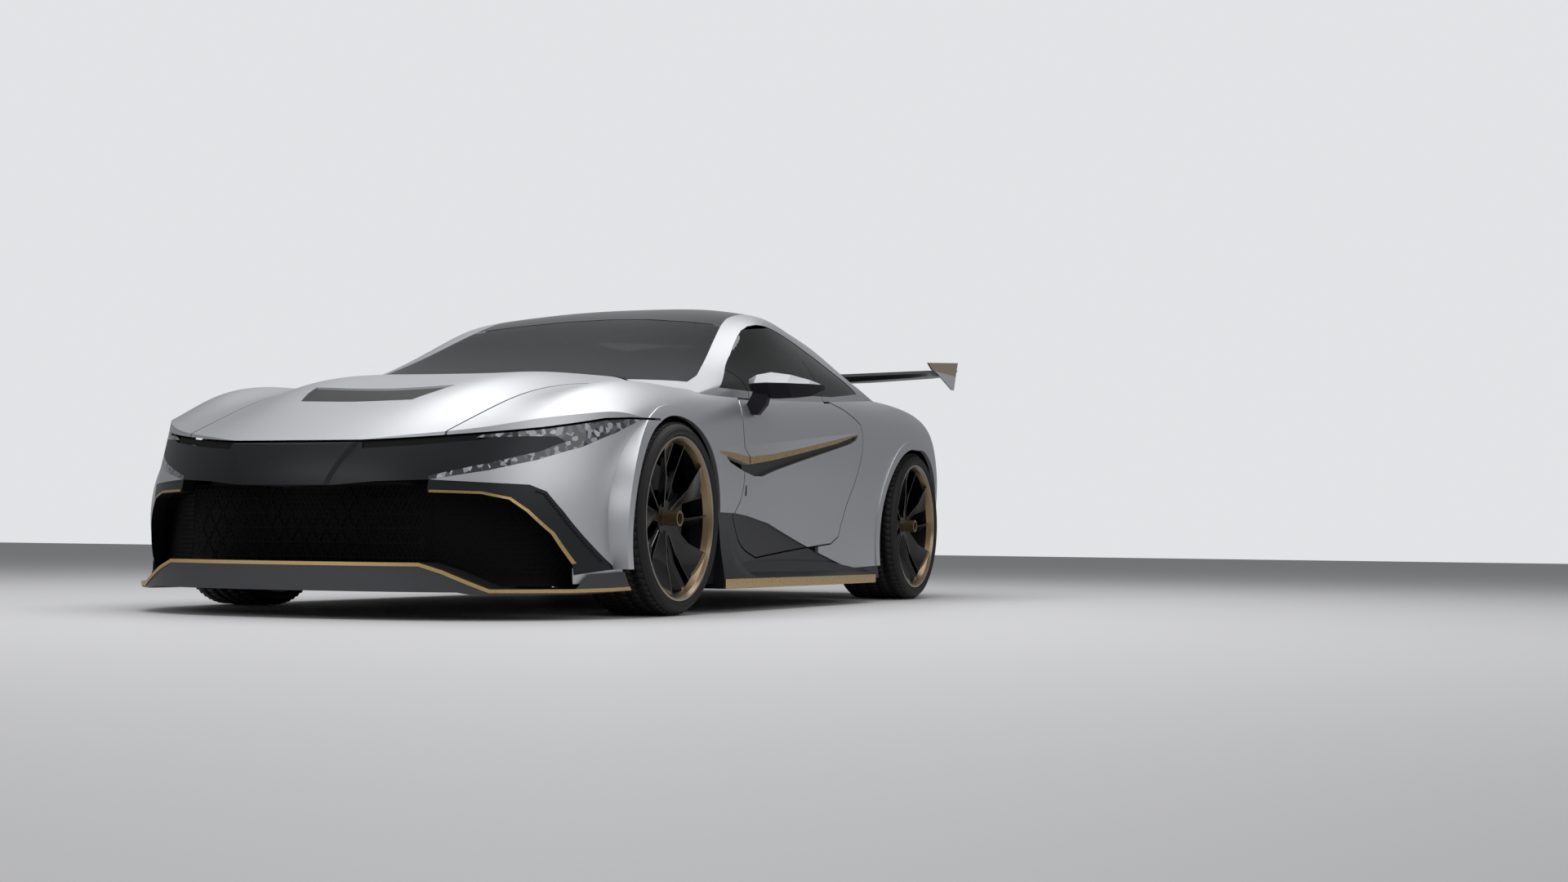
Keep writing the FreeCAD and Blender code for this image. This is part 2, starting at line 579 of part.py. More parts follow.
add("bonnet", make_bonnet())
make_front()
fender = make_fender()
add("front_fender_left", fender)
add("front_fender_right", mirrored(fender))
door = make_door()
add("door_left", door)
add("door_right", mirrored(door))
quarter = make_quarter()
add("rear_quarter_left", quarter)
add("rear_quarter_right", mirrored(quarter))
make_rear()
make_greenhouse()


# Wheels
def revolved(profile, axle_y, centre_z):
    """Turns an outline of (x, radius) about the axle."""
    face = face_from([V(x, 0, r) for x, r in profile])
    ring = face.revolve(V(0, 0, 0), V(1, 0, 0), 360)
    ring.translate(V(0, axle_y, centre_z))
    return ring


def drum(x0, x1, radius, axle_y, centre_z):
    return Part.makeCylinder(radius, x1 - x0, V(x0, axle_y, centre_z), V(1, 0, 0))


PADDLES = 5
HUB_RADIUS = 66.0
BELL_RADIUS = 104.0
NUT_RADIUS = 29.0
SPOKE_END = 280.0
# Sections of a wheel's paddles and of the thin blades between them: the radius, then four corners,
# each as (sideways, depth behind the rim's face)
PADDLE_ROWS = (
    (44, (-13, 58), (12, 66), (10, 104), (-11, 96)),
    (165, (-20, 34), (34, 66), (30, 84), (-14, 58)),
    (279, (-66, 9), (74, 34), (66, 58), (-52, 30)),
)
BLADE_ROWS = (
    (52, (-7, 66), (7, 68), (6, 94), (-6, 92)),
    (170, (-14, 52), (-4, 60), (12, 84), (1, 79)),
    (279, (-34, 22), (-26, 30), (16, 92), (4, 86)),
)


def spoke(rows, turn, axle_y, centre_z, face_x):
    """A twisted spoke: a loft through four-cornered sections from the hub out to the rim."""
    wires = []
    for radius, *corners in rows:
        points = [V(face_x - depth, side, radius) for side, depth in corners]
        wires.append(Part.makePolygon(points + points[:1]))
    blade = Part.makeLoft(wires, True, True)
    blade.rotate(V(0, 0, 0), V(1, 0, 0), turn)
    blade.translate(V(0, axle_y, centre_z))
    return blade


def make_rim(axle_y, centre_z, face_x, width, disc_x):
    back_x = face_x - width
    barrel = revolved((
        (face_x, RIM_RADIUS), (face_x, RIM_RADIUS - 8), (face_x - 12, 282), (face_x - 34, 274), (face_x - 80, 268),
        (back_x, 271), (back_x, RIM_RADIUS), (back_x + 10, RIM_RADIUS), (back_x + 14, 282), (face_x - 16, 282),
        (face_x - 12, RIM_RADIUS),
    ), axle_y, centre_z)
    pieces = [barrel, drum(disc_x, face_x - 62, HUB_RADIUS, axle_y, centre_z)]
    spokes = []
    for i in range(PADDLES):
        turn = 360.0 / PADDLES * i + 14
        spokes.append(spoke(PADDLE_ROWS, turn, axle_y, centre_z, face_x))
        spokes.append(spoke(BLADE_ROWS, turn + 180.0 / PADDLES, axle_y, centre_z, face_x))
    pieces.append(fused(spokes).common(drum(disc_x, face_x, SPOKE_END, axle_y, centre_z)))
    pieces.append(drum(disc_x, disc_x + DISC_THICK, DISC_RADIUS, axle_y, centre_z))
    pieces.append(drum(disc_x, disc_x + 50, BELL_RADIUS, axle_y, centre_z))
    pieces.append(drum(face_x - 66, face_x - 4, NUT_RADIUS, axle_y, centre_z))
    rim = fused(pieces)
    rim = rim.cut(drum(face_x - 44, face_x + 20, NUT_RADIUS - 8, axle_y, centre_z))
    return rim.cut(drum(disc_x - 10, face_x - 70, STUB_RADIUS + RUNNING, axle_y, centre_z))


def make_tyre(axle_y, centre_z, face_x, width, radius):
    out_x, in_x = face_x + TYRE_BULGE, face_x - width - TYRE_BULGE
    return revolved((
        (face_x - width + 16, 282.4), (face_x - 18, 282.4), (face_x - 13, RIM_RADIUS + 0.6),
        (out_x - 2, RIM_RADIUS + 2), (out_x + 2, RIM_RADIUS + 20), (out_x - 10, radius - 12), (out_x - 32, radius),
        (in_x + 32, radius), (in_x + 10, radius - 12), (in_x - 2, RIM_RADIUS + 20), (in_x + 2, RIM_RADIUS + 2),
        (face_x - width + 13, RIM_RADIUS + 0.6),
    ), axle_y, centre_z)


# Knuckles, hub carriers and suspension
UPRIGHT_HALF = 150.0
PIN_RADIUS = 12.0
ARM_THICK = 28.0
ARM_GAP = 5.5


def make_upright(axle_y, centre_z, face_x, pin_x, disc_x):
    """Upright with its stub axle, two ball pins and the caliper behind the axle."""
    body = box(pin_x - 20, pin_x + 20, axle_y - 50, axle_y + 50, centre_z - UPRIGHT_HALF, centre_z + UPRIGHT_HALF)
    stub = rod((pin_x, axle_y, centre_z), (face_x - 72, axle_y, centre_z), STUB_RADIUS)
    reach = UPRIGHT_HALF + ARM_GAP + ARM_THICK + 4
    pins = rod((pin_x, axle_y, centre_z - reach), (pin_x, axle_y, centre_z + reach), PIN_RADIUS)
    caliper = drum(disc_x - 16, disc_x + DISC_THICK + 16, DISC_RADIUS + 24, axle_y, centre_z)
    caliper = caliper.cut(drum(disc_x - 17, disc_x + DISC_THICK + 17, BELL_RADIUS + 16, axle_y, centre_z))
    caliper = caliper.cut(drum(disc_x - 5.5, disc_x + DISC_THICK + 5.5, DISC_RADIUS + 6, axle_y, centre_z))
    caliper = caliper.common(box(0, 1200, axle_y + 60, axle_y + 400, centre_z - 95, centre_z + 95))
    bracket = box(pin_x - 10, disc_x - 8, axle_y + 40, axle_y + 190, centre_z - 40, centre_z + 40)
    return fused([body, stub, pins, caliper, bracket])


def make_arms(axle_y, centre_z, pin_x, root_x):
    arms = []
    for way in (-1, 1):
        z = centre_z + way * (UPRIGHT_HALF + ARM_GAP + ARM_THICK / 2) - ARM_THICK / 2
        outline = ((root_x, -190), (root_x + 40, -190), (pin_x - 30, -28), (pin_x + 14, -24), (pin_x + 26, 0),
                   (pin_x + 14, 24), (pin_x - 30, 28), (root_x + 40, 190), (root_x, 190), (root_x, 140),
                   (pin_x - 90, 0), (root_x, -140))
        arm = prism_z([(x, axle_y + y) for x, y in outline], z, z + ARM_THICK)
        arms.append(arm.cut(rod((pin_x, axle_y, z - 5), (pin_x, axle_y, z + 50), PIN_RADIUS + RUNNING)))
    return arms


ARM_ROOT_X = 400.0
FRONT_Z = FRONT_TYRE_RADIUS
REAR_Z = REAR_TYRE_RADIUS
FRONT_DISC_X = 840.0
REAR_DISC_X = 800.0
REAR_PIN_X = 755.0
FRONT_RIM_WIDTH = FRONT_TYRE_WIDTH - 2 * TYRE_BULGE
REAR_RIM_WIDTH = REAR_TYRE_WIDTH - 2 * TYRE_BULGE
CORNERS = (
    # name, axle y, centre z, face x, rim width, tyre radius, pin x, disc x
    ("front", FRONT_AXLE_Y, FRONT_Z, FRONT_FACE_X, FRONT_RIM_WIDTH, FRONT_TYRE_RADIUS, KINGPIN_X, FRONT_DISC_X),
    ("rear", REAR_AXLE_Y, REAR_Z, REAR_FACE_X, REAR_RIM_WIDTH, REAR_TYRE_RADIUS, REAR_PIN_X, REAR_DISC_X),
)
all_arms = []
for name, axle_y, centre_z, face_x, width, radius, pin_x, disc_x in CORNERS:
    rim = make_rim(axle_y, centre_z, face_x, width, disc_x)
    tyre = make_tyre(axle_y, centre_z, face_x, width, radius)
    add("wheel_%s_left" % name, rim)
    add("wheel_%s_right" % name, mirrored(rim))
    add("tyre_%s_left" % name, tyre)
    add("tyre_%s_right" % name, mirrored(tyre))
    upright = make_upright(axle_y, centre_z, face_x, pin_x, disc_x)
    if name == "front":
        add("knuckle_left", upright)
        add("knuckle_right", mirrored(upright))
    else:
        add("rear_hub_carriers", gathered([upright, mirrored(upright)]))
    arms = make_arms(axle_y, centre_z, pin_x, ARM_ROOT_X)
    all_arms += arms + [mirrored(arm) for arm in arms]
add("suspension_arms", gathered(all_arms))


# Hinges: x of the arm, then (y, z) of the pin
BONNET_HINGE = (400.0, -898.0, 842.0)
BOOT_HINGE = (400.0, 1760.0, 915.0)
LID_PIN = 8.0
LID_ARM = 12.0
DOOR_HINGE_X = 928.0
DOOR_HINGE_Y = -700.0
DOOR_HINGE_Z = (470.0, 685.0)
HINGE_ROOT_X = 800.0
POST_X = 808.0
# Room for the door's front edge as it swings: the height, and the radius round the hinge
SWING_ROOM = (
    (465, 45), (480, 38.5), (541, 36.5), (567, 40.5), (568, 58.5), (602, 62.5), (644, 51), (700, 52),
    (720, 47), (750, 39.5), (762, 36.5), (800, 20),
)
DOOR_PIN = 6.0
half_skin = body_solid(SKIN / 2)
inner_trim = body_solid(SKIN + 0.4)


def lid_arm(hinge, profile):
    """A gooseneck arm from its pin to the lid, drawn as (y, z) from the pin."""
    x, y, z = hinge
    arm = prism_x([(y + a, z + b) for a, b in profile], x - LID_ARM / 2, x + LID_ARM / 2)
    eye = rod((x - LID_ARM / 2, y, z), (x + LID_ARM / 2, y, z), LID_PIN + 9)
    arm = arm.fuse(eye).common(half_skin)
    return arm


def lid_pin(hinge, foot_z):
    x, y, z = hinge
    plate_x = x + LID_ARM / 2 + 5
    pin = rod((x - LID_ARM / 2 - 4, y, z), (plate_x + 12, y, z), LID_PIN)
    plate = box(plate_x, plate_x + 12, y - 14, y + 14, foot_z, z + 10)
    return pin.fuse(plate)


def lid_bore(hinge):
    x, y, z = hinge
    return rod((x - 20, y, z), (x + 20, y, z), LID_PIN + RUNNING)


BONNET_ARM = ((10, -12), (-30, -54), (-86, -62), (-120, -14), (-124, 60), (-96, 60), (-96, -6), (-76, -36),
              (-38, -30), (-8, 12))
BOOT_ARM = ((-14, -8), (4, -20), (46, -72), (120, -84), (166, -40), (176, 90), (141, 90), (141, -28),
            (113, -61), (54, -50), (14, 10))


def with_arms(lid, hinge, profile):
    arm = lid_arm(hinge, profile)
    whole_lid = lid.fuse([arm, mirrored(arm)])
    bore = lid_bore(hinge)
    return whole_lid.cut(bore).cut(mirrored(bore))


nodes["bonnet"] = with_arms(nodes["bonnet"], BONNET_HINGE, BONNET_ARM)
nodes["boot_lid"] = with_arms(nodes["boot_lid"], BOOT_HINGE, BOOT_ARM)


# Door hinges: the bracket comes out of the pillar to a pin that stands in the door
def door_hinge_bracket(z):
    arm = box(HINGE_ROOT_X, DOOR_HINGE_X, DOOR_HINGE_Y - 6, DOOR_HINGE_Y + 6, z - 15, z + 15)
    eye = rod((DOOR_HINGE_X, DOOR_HINGE_Y, z - 15), (DOOR_HINGE_X, DOOR_HINGE_Y, z + 15), DOOR_PIN + 4)
    pin = rod((DOOR_HINGE_X, DOOR_HINGE_Y, z - 40), (DOOR_HINGE_X, DOOR_HINGE_Y, z + 40), DOOR_PIN)
    return arm.fuse([eye, pin])


def door_hinge_pocket(z):
    """Room in the door for the bracket through the door's whole swing."""
    room = Part.makeCylinder(140, 42, V(DOOR_HINGE_X, DOOR_HINGE_Y, z - 21), V(0, 0, 1), 107)
    room.rotate(V(DOOR_HINGE_X, DOOR_HINGE_Y, z), V(0, 0, 1), 155)
    eye = rod((DOOR_HINGE_X, DOOR_HINGE_Y, z - 21), (DOOR_HINGE_X, DOOR_HINGE_Y, z + 21), DOOR_PIN + 9.5)
    bore = rod((DOOR_HINGE_X, DOOR_HINGE_Y, z - 41), (DOOR_HINGE_X, DOOR_HINGE_Y, z + 41), DOOR_PIN + RUNNING)
    ahead = box(840, DOOR_HINGE_X + 2, DOOR_HINGE_Y - 60, DOOR_HINGE_Y, z - 21, z + 21)
    return fused([room, eye, bore, ahead])


def door_hinge_room(z):
    """Room in the fender's rear edge for the bracket."""
    eye = rod((DOOR_HINGE_X, DOOR_HINGE_Y, z - 16), (DOOR_HINGE_X, DOOR_HINGE_Y, z + 16), DOOR_PIN + 5)
    pin = rod((DOOR_HINGE_X, DOOR_HINGE_Y, z - 41), (DOOR_HINGE_X, DOOR_HINGE_Y, z + 41), DOOR_PIN + 1)
    return eye.fuse([pin, box(HINGE_ROOT_X, DOOR_HINGE_X, DOOR_HINGE_Y - 7, DOOR_HINGE_Y + 7, z - 16, z + 16)])


def turned_room():
    """The room that the fender's rear edge leaves for the swinging door."""
    low, high = SWING_ROOM[0][0], SWING_ROOM[-1][0]
    face = face_from([V(0, 0, low)] + [V(radius, 0, z) for z, radius in SWING_ROOM] + [V(0, 0, high)])
    room = face.revolve(V(0, 0, 0), V(0, 0, 1), 360)
    room.translate(V(DOOR_HINGE_X, DOOR_HINGE_Y, 0))
    return room


swing_room = turned_room()
hung_door = nodes["door_left"]
for z in DOOR_HINGE_Z:
    hung_door = hung_door.cut(door_hinge_pocket(z))
hung_door = biggest(hung_door)
nodes["door_left"] = hung_door
nodes["door_right"] = mirrored(hung_door)
fender = biggest(fender.cut([door_hinge_room(z) for z in DOOR_HINGE_Z] + [swing_room]))
nodes["front_fender_left"] = fender
nodes["front_fender_right"] = mirrored(fender)


# Floor, bulkheads, pillars and beams in one tub
FLOOR_TOP = 122.0
RAIL_X = 304.0
PILLAR_X = 780.0
REST = 0.3
JACK_PAD_Z = 100.0


def make_tub():
    solids = [
        box(-870, 870, -1080, 1080, 100, FLOOR_TOP),
        box(-470, 470, -2030, -1080, 100, FLOOR_TOP),
        box(-470, 470, 1080, 1905 - REST, 100, FLOOR_TOP),
        box(-120, 120, -920, 1060, 122, 300),
        box(-868, 868, -935, -905, 122, 780),
        box(-720, 720, 1040, 1070, 122, 880),
        box(-780, 780, -700, -660, 700, 780),
        box(-700, 700, 1740, 1780, 800, 850),
        box(-980, 980, -2600, -2150, 556, 574),
        box(-440, 440, -2190, -2140, 290, 450),
        box(-980, 980, 2150, 2600, 500, 520),
        box(-560, 560, 2200, 2250, 360, 520),
    ]
    for side in (-1, 1):
        solids += [
            box(*sorted((side * 790, side * 868)), -960, 960, 110, 200),
            box(*sorted((side * 780, side * POST_X)), -935, -690, 122, 800),
            box(*sorted((side * 620, side * 1000)), -935, -905, 760, 1000),
            box(*sorted((side * RAIL_X, side * (RAIL_X + 60))), -2190, -905, 300, 400),
            box(*sorted((side * RAIL_X, side * (RAIL_X + 60))), -2190, -2130, 300, 574),
            box(*sorted((side * RAIL_X, side * (RAIL_X + 60))), 1040, 2230, 330, 400),
            box(*sorted((side * 360, side * 400)), -1640, -1190, 140, 560),
            box(*sorted((side * 360, side * 400)), 1190, 1640, 140, 560),
            box(*sorted((side * 640, side * 700)), 1040, 1780, 830, 870),
            box(*sorted((side * 640, side * 1100)), 1040, 1070, 560, 1100),
            box(*sorted((side * 640, side * 1100)), 1960, 1990, 640, 1100),
            box(*sorted((side * RAIL_X, side * (RAIL_X + 60))), 2170, 2230, 330, 800),
            box(*sorted((side * 640, side * 700)), 1700, 1990, 810, 850),
        ]
    tub = fused(solids).common(inner_trim)
    tub = tub.cut(bays)
    lid_room = prism_z(grown(bonnet_plan, 14), 560, 1300).cut(body_solid(SKIN + 6))
    boot_room = prism_z(grown(boot_plan, 14), 700, 1300).cut(body_solid(SKIN + 6))
    tub = tub.cut(lid_room).cut(boot_room)
    fittings = [lid_pin(BONNET_HINGE, 740), lid_pin(BOOT_HINGE, 830)]
    fittings += [door_hinge_bracket(z) for z in DOOR_HINGE_Z]
    fittings.append(box(800, 860, -60, 60, JACK_PAD_Z, 112))
    for fitting in list(fittings):
        fittings.append(mirrored(fitting))
    tub = tub.fuse(fittings)
    return tub


add("floor_tub", make_tub())


# Front: splitter, gold lines, intake
GOLD_WIDTH = 12.0


def make_splitter():
    """The lip under the intake with its floor plate, and the gold strip let into the lip's edge."""
    ahead = wall_solid(NOSE_ROWS, -30, 1)
    outline = prism_y(whole(LIP_LINE + SPLITTER_FOOT), -2700, -1600)
    lip = ahead.cut(wall_solid(NOSE_ROWS, 90, 1)).common(outline)
    floor = ahead.common(box(-930, 930, -3000, -1830, 84, COLUMN_Z[0] - 0.4)).common(outline)
    line = [(-x, z) for x, z in reversed(GOLD_LINE)] + list(GOLD_LINE[1:])
    edge = prism_y(ribbon(line, -GOLD_WIDTH), -2700, -1600)
    strip = wall_solid(NOSE_ROWS, -35, 1).cut(wall_solid(NOSE_ROWS, -10, 1)).common(edge).cut(arches)
    return biggest(lip.fuse(floor).cut(arches).cut(strip)), biggest(strip)


splitter, lip_strip = make_splitter()
add("front_splitter", splitter)
mouth_edge = grown(ribbon(INTAKE_LINE, 9), -0.3)
mouth_strip = wall_solid(NOSE_ROWS, -2, 1).cut(wall_solid(NOSE_ROWS, 14, 1)).common(
    prism_y(mouth_edge, -2700, -1600)).common(outer)
nodes["intake_frame"] = nodes["intake_frame"].cut(mouth_strip.fuse(mirrored(mouth_strip)))

# The mesh: three upright plates with rows of triangular holes
MESH_SIDE = 56.0
MESH_BAR = 3.0
MESH_THICK = 6.0
MESH_LOW, MESH_HIGH = 104.0, 456.0


def mesh_plate(x0, x1, place):
    """A plate from x0 to x1, z MESH_LOW to MESH_HIGH; place(x) gives its y. Triangles stand in rows."""
    rise = MESH_SIDE * 0.866
    border = [(x0, MESH_LOW), (x1, MESH_LOW), (x1, MESH_HIGH), (x0, MESH_HIGH)]
    face = face_from([V(x, place(x), z) for x, z in border])
    holes = []
    row = 0
    while MESH_LOW + (row + 1) * rise < MESH_HIGH:
        z0 = MESH_LOW + row * rise + MESH_BAR
        z1 = z0 + rise - MESH_BAR
        step = 0
        while x0 + (step + 2) * MESH_SIDE / 2 < x1 - MESH_BAR:
            a = x0 + MESH_BAR + step * MESH_SIDE / 2
            half = MESH_SIDE / 2 - MESH_BAR
            low, high = (z0, z1) if (step + row) % 2 else (z1, z0)
            corners = [(a, low), (a + 2 * half, low), (a + half, high)]
            holes.append(face_from([V(x, place(x), z) for x, z in corners]))
            step += 1
        row += 1
    face = face.cut(holes)
    return face.extrude(V(0, MESH_THICK, 0))


MESH_BEND = 470.0
mesh_mid = mesh_plate(-MESH_BEND, MESH_BEND, lambda x: -2290.0)
mesh_side = mesh_plate(MESH_BEND, 868.0, lambda x: -2290.0 + (x - MESH_BEND) * 0.93)
mouth_room = prism_y(grown(whole(INTAKE_HALF), 8), -2700, -1600)
surround = wall_solid(NOSE_ROWS, 71, 1).cut(wall_solid(NOSE_ROWS, 168, 1)).common(inner)
surround = surround.common(prism_y(grown(whole(INTAKE_HALF), 16), -2700, -1600))
surround = surround.cut(mouth_room.cut(wall_solid(NOSE_ROWS, 160, 1))).cut(bays).cut(splitter)
mesh = mesh_mid.fuse([mesh_side, mirrored(mesh_side)]).common(wall_solid(NOSE_ROWS, 91, 1))
mesh = mesh.common(prism_y(grown(whole(INTAKE_HALF), 7.8), -2700, -1600)).cut(bays).cut(splitter)
add("grille", gathered([biggest(surround), biggest(mesh), nodes.pop("nose_slots")]))

# Sides: flared skirts with their gold strip
# y, then (x, z) of the flare's top and middle, and the x of its foot
SKIRT_ROWS = (
    (-1040, (970, 362), (982, 240), 1000),
    (-900, (948, 350), (970, 230), 1000),
    (-690, (918, 196), (948, 150), 1000),
    (300, (908, 190), (936, 146), 996),
    (760, (918, 180), (934, 146), 980),
)


def make_skirt():
    """The dark sill below the blade line, its flare and the shelf that carries the gold strip."""
    flat = dark_skin.common(below_blade).cut(arches).cut(door_room).common(behind_arch)
    wires = []
    for y, top, middle, foot in SKIRT_ROWS:
        corners = [(872, 129), (872, 190), (top[0] - 16, top[1] - 4), top, middle, (foot, 129), (foot - 6, 90),
                   (872, 90)]
        points = [V(x, y, z) for x, z in corners]
        wires.append(Part.makePolygon(points + points[:1]))
    over_blade = prism_x([(y, z - SEAM) for y, z in BLADE_LINE] + [(985, 1400), (-1120, 1400)], 300, 1200)
    flare = Part.makeLoft(wires, True, True).cut(arches).cut(over_blade.common(body_solid(-0.5)))
    return flat, flare


flat_sill, flare = make_skirt()
skirt = biggest(flat_sill.fuse(flare))
wires = []
for y, top, middle, foot in SKIRT_ROWS:
    corners = [(foot + 0.2, 128), (foot + 5, 127), (foot + 5, 91), (foot + 0.2, 90)]
    points = [V(x, y, z) for x, z in corners]
    wires.append(Part.makePolygon(points + points[:1]))
strip = Part.makeLoft(wires, True, True)
skirt = skirt.cut(strip)
add("side_skirts", gathered([skirt, mirrored(skirt)]))
cap = biggest(vane_strip.cut([door_room, swing_room]).common(box(0, 1200, -1300, -600, 0, 1000)))
one_side = [mouth_strip, strip, cap]
add("gold_strips", gathered([lip_strip] + one_side + [mirrored(shape) for shape in one_side]))
nodes["door_trim_right"] = mirrored(nodes["door_trim_left"])
add("door_vane_right", mirrored(nodes["door_vane_left"]))


# Rear: tail panel, diffuser, exhaust tips, wing
tail_panel = skin.common(box(-299.4, 299.4, 1500, 2700, 660.6, 1200))
tail_panel = tail_panel.cut(prism_z(grown(boot_plan, PANEL_GAP), 700, 1300)).cut(green_inner)
nodes["rear_bumper"] = gathered([nodes["rear_bumper"], tail_panel])
diffuser = body_solid(0).common(
    prism_x(((1905, 112), (2600, 250), (2600, 329), (2300, 329), (1905, 140)), -800, 800))
for i in range(7):
    x = -600 + 200 * i
    diffuser = diffuser.fuse(box(x - 5, x + 5, 1950, 2380, 125, 240).common(outer))
TIP_X = 240.0
TIP_RADIUS = 50.0
tips = [rod((s * TIP_X, 2150, 275), (s * TIP_X, 2430, 275), TIP_RADIUS) for s in (-1, 1)]
tip_holes = [rod((s * TIP_X, 2100, 275), (s * TIP_X, 2500, 275), TIP_RADIUS + REST) for s in (-1, 1)]
diffuser = diffuser.cut(fused(tip_holes))
add("diffuser", biggest(diffuser))
add("exhaust", gathered([tip.cut(rod((s * TIP_X, 2200, 275), (s * TIP_X, 2450, 275), TIP_RADIUS - 4))
                         for tip, s in zip(tips, (-1, 1))]))
WING_TOP = ((1820, 1172), (1860, 1190), (1980, 1196), (2200, 1206), (2310, 1226))
WING_UNDER = ((2312, 1220), (2200, 1186), (1980, 1168), (1860, 1164))
# The wing's sections: x, how far it hangs below the profile, and how much thicker it is underneath
WING_ROWS = ((0, 50, 20), (450, 46, 17), (800, 38, 8), (900, 36, 0))
END_PROFILE = ((1776, 1186), (2296, 1228), (2268, 1176), (2226, 1078), (2192, 1078), (1954, 1140), (1839, 1158))
STAY_X = 300.0


def make_wing():
    """The left half of the wing with its end plate and stay."""
    wires = []
    for x, drop, belly in WING_ROWS:
        points = [V(x, y, z - drop) for y, z in WING_TOP] + [V(x, y, z - drop - belly) for y, z in WING_UNDER]
        wires.append(Part.makePolygon(points + points[:1]))
    plane = Part.makeLoft(wires, True, True)
    plate = prism_x(END_PROFILE, 900, 908)
    stay = prism_x(((1990, 900), (2080, 900), (2120, 1144), (2010, 1136)), STAY_X, STAY_X + 12)
    return plane.fuse([plate, stay.cut(lower_touch)])


wing = make_wing()
wing = wing.fuse(mirrored(wing))
add("rear_wing", biggest(wing))


# Mirrors on their stalks: x of the section, then y of its front and back, z of its foot, edge and top
MIRROR_ROWS = (
    (922, -640, -598, 872, 896, 914),
    (956, -668, -572, 848, 898, 932),
    (1016, -676, -552, 838, 899, 942),
    (1090, -652, -528, 842, 897, 932),
    (1160, -600, -500, 852, 895, 912),
    (1192, -560, -496, 872, 893, 898),
)


def make_mirror():
    wires = []
    for x, front, back, foot, edge, top in MIRROR_ROWS:
        middle = (front + back) / 2
        points = [V(x, front, edge), V(x, middle - 20, top), V(x, back, top - 4), V(x, back, foot + 4),
                  V(x, middle, foot)]
        wires.append(Part.makePolygon(points + points[:1]))
    shell = Part.makeLoft(wires, True, True)
    stalk = prism_y(
        ((900, 775), (900, 800), (930, 850), (940, 880), (1010, 880), (992, 812), (958, 774)), -630, -600)
    return biggest(shell.fuse(stalk.cut(lower_touch)))


mirror_left = make_mirror()
add("mirror_left", mirror_left)
add("mirror_right", mirrored(mirror_left))

# Cabin
SEAT_FOOT = FLOOR_TOP + REST
SEAT_PROFILE = (
    (-180, SEAT_FOOT), (-200, 330), (-120, 350), (240, 318), (330, 560), (400, 800), (440, 900), (500, 900),
    (500, 780), (400, 400), (330, SEAT_FOOT),
)
REAR_SEAT_PROFILE = (
    (560, SEAT_FOOT), (560, 400), (820, 380), (930, 760), (1000, 780), (1020, 700), (960, SEAT_FOOT),
)
seats = []
for profile in (SEAT_PROFILE, REAR_SEAT_PROFILE):
    seat = prism_x(profile, 150, 630)
    seats += [seat, mirrored(seat)]
add("seats", gathered(seats))
DASH_FRONT = -660 + REST
DASH_PROFILE = ((DASH_FRONT, 620), (DASH_FRONT, 780), (-560, 850), (-400, 840), (-360, 760), (-420, 620))
add("dashboard", prism_x(DASH_PROFILE, REST - PILLAR_X, PILLAR_X - REST))
WHEEL_AT = V(390, -190, 720)
ring = Part.makeTorus(175, 15)
spoke = Part.makeBox(330, 30, 16, V(-165, -15, -8))
column = Part.makeCylinder(24, 240, V(0, 0, -240))
steering = ring.fuse([spoke, column])
steering.rotate(V(0, 0, 0), V(1, 0, 0), -68)
steering.translate(WHEEL_AT)
add("steering_wheel", biggest(steering.cut(nodes["dashboard"])))
ENGINE_HALF = RAIL_X - REST
add("engine_block", box(-ENGINE_HALF, ENGINE_HALF, -1500, -960, 150, 560))

os.makedirs("parts", exist_ok=True)
for name, shape in nodes.items():
    print(name, len(shape.Solids), shape.isValid(), round(shape.Volume / 1e6, 3))
    shape.exportStep("parts/" + name + ".step")
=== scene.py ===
# %% [markdown]
# This file dresses a low hypercar. Its panels, wheels and cabin come from the CAD frame,
# so the shapes are already in place. Blender adds finishes, tyres with tread, faceted lamps and a fine mesh.

# %% Load the frame
import math
import bmesh
import bpy
from mathutils import Matrix, Vector
from mathutils.bvhtree import BVHTree


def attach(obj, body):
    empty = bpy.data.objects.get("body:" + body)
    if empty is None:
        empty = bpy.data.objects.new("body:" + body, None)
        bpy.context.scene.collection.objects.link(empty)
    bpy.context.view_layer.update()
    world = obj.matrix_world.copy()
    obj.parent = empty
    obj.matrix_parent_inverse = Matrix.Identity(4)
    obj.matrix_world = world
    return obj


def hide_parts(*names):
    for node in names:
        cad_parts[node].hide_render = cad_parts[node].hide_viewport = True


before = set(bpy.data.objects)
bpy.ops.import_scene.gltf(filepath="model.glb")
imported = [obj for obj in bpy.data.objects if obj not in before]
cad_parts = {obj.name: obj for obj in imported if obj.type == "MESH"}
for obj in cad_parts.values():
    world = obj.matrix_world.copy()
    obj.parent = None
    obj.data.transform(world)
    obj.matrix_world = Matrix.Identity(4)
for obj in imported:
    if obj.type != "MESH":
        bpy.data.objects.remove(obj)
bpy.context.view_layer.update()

# %% [markdown]
# Every finish starts as one Principled shader. The values that are the same all over the surface are set
# on its own sockets, because a value that arrives through a node is lost when the model is exported.

# %% A plain finish
def finish(name, color, metallic, roughness, **sockets):
    material = bpy.data.materials.new(name)
    material.use_nodes = True
    shader = material.node_tree.nodes["Principled BSDF"]
    shader.inputs["Base Color"].default_value = (*color, 1.0)
    shader.inputs["Metallic"].default_value = metallic
    shader.inputs["Roughness"].default_value = roughness
    for socket, value in sockets.items():
        shader.inputs[socket.replace("_", " ")].default_value = value
    return material


def node(material, kind, **settings):
    made = material.node_tree.nodes.new(kind)
    for key, value in settings.items():
        setattr(made, key, value)
    return made


def link(material, start, end):
    material.node_tree.links.new(start, end)


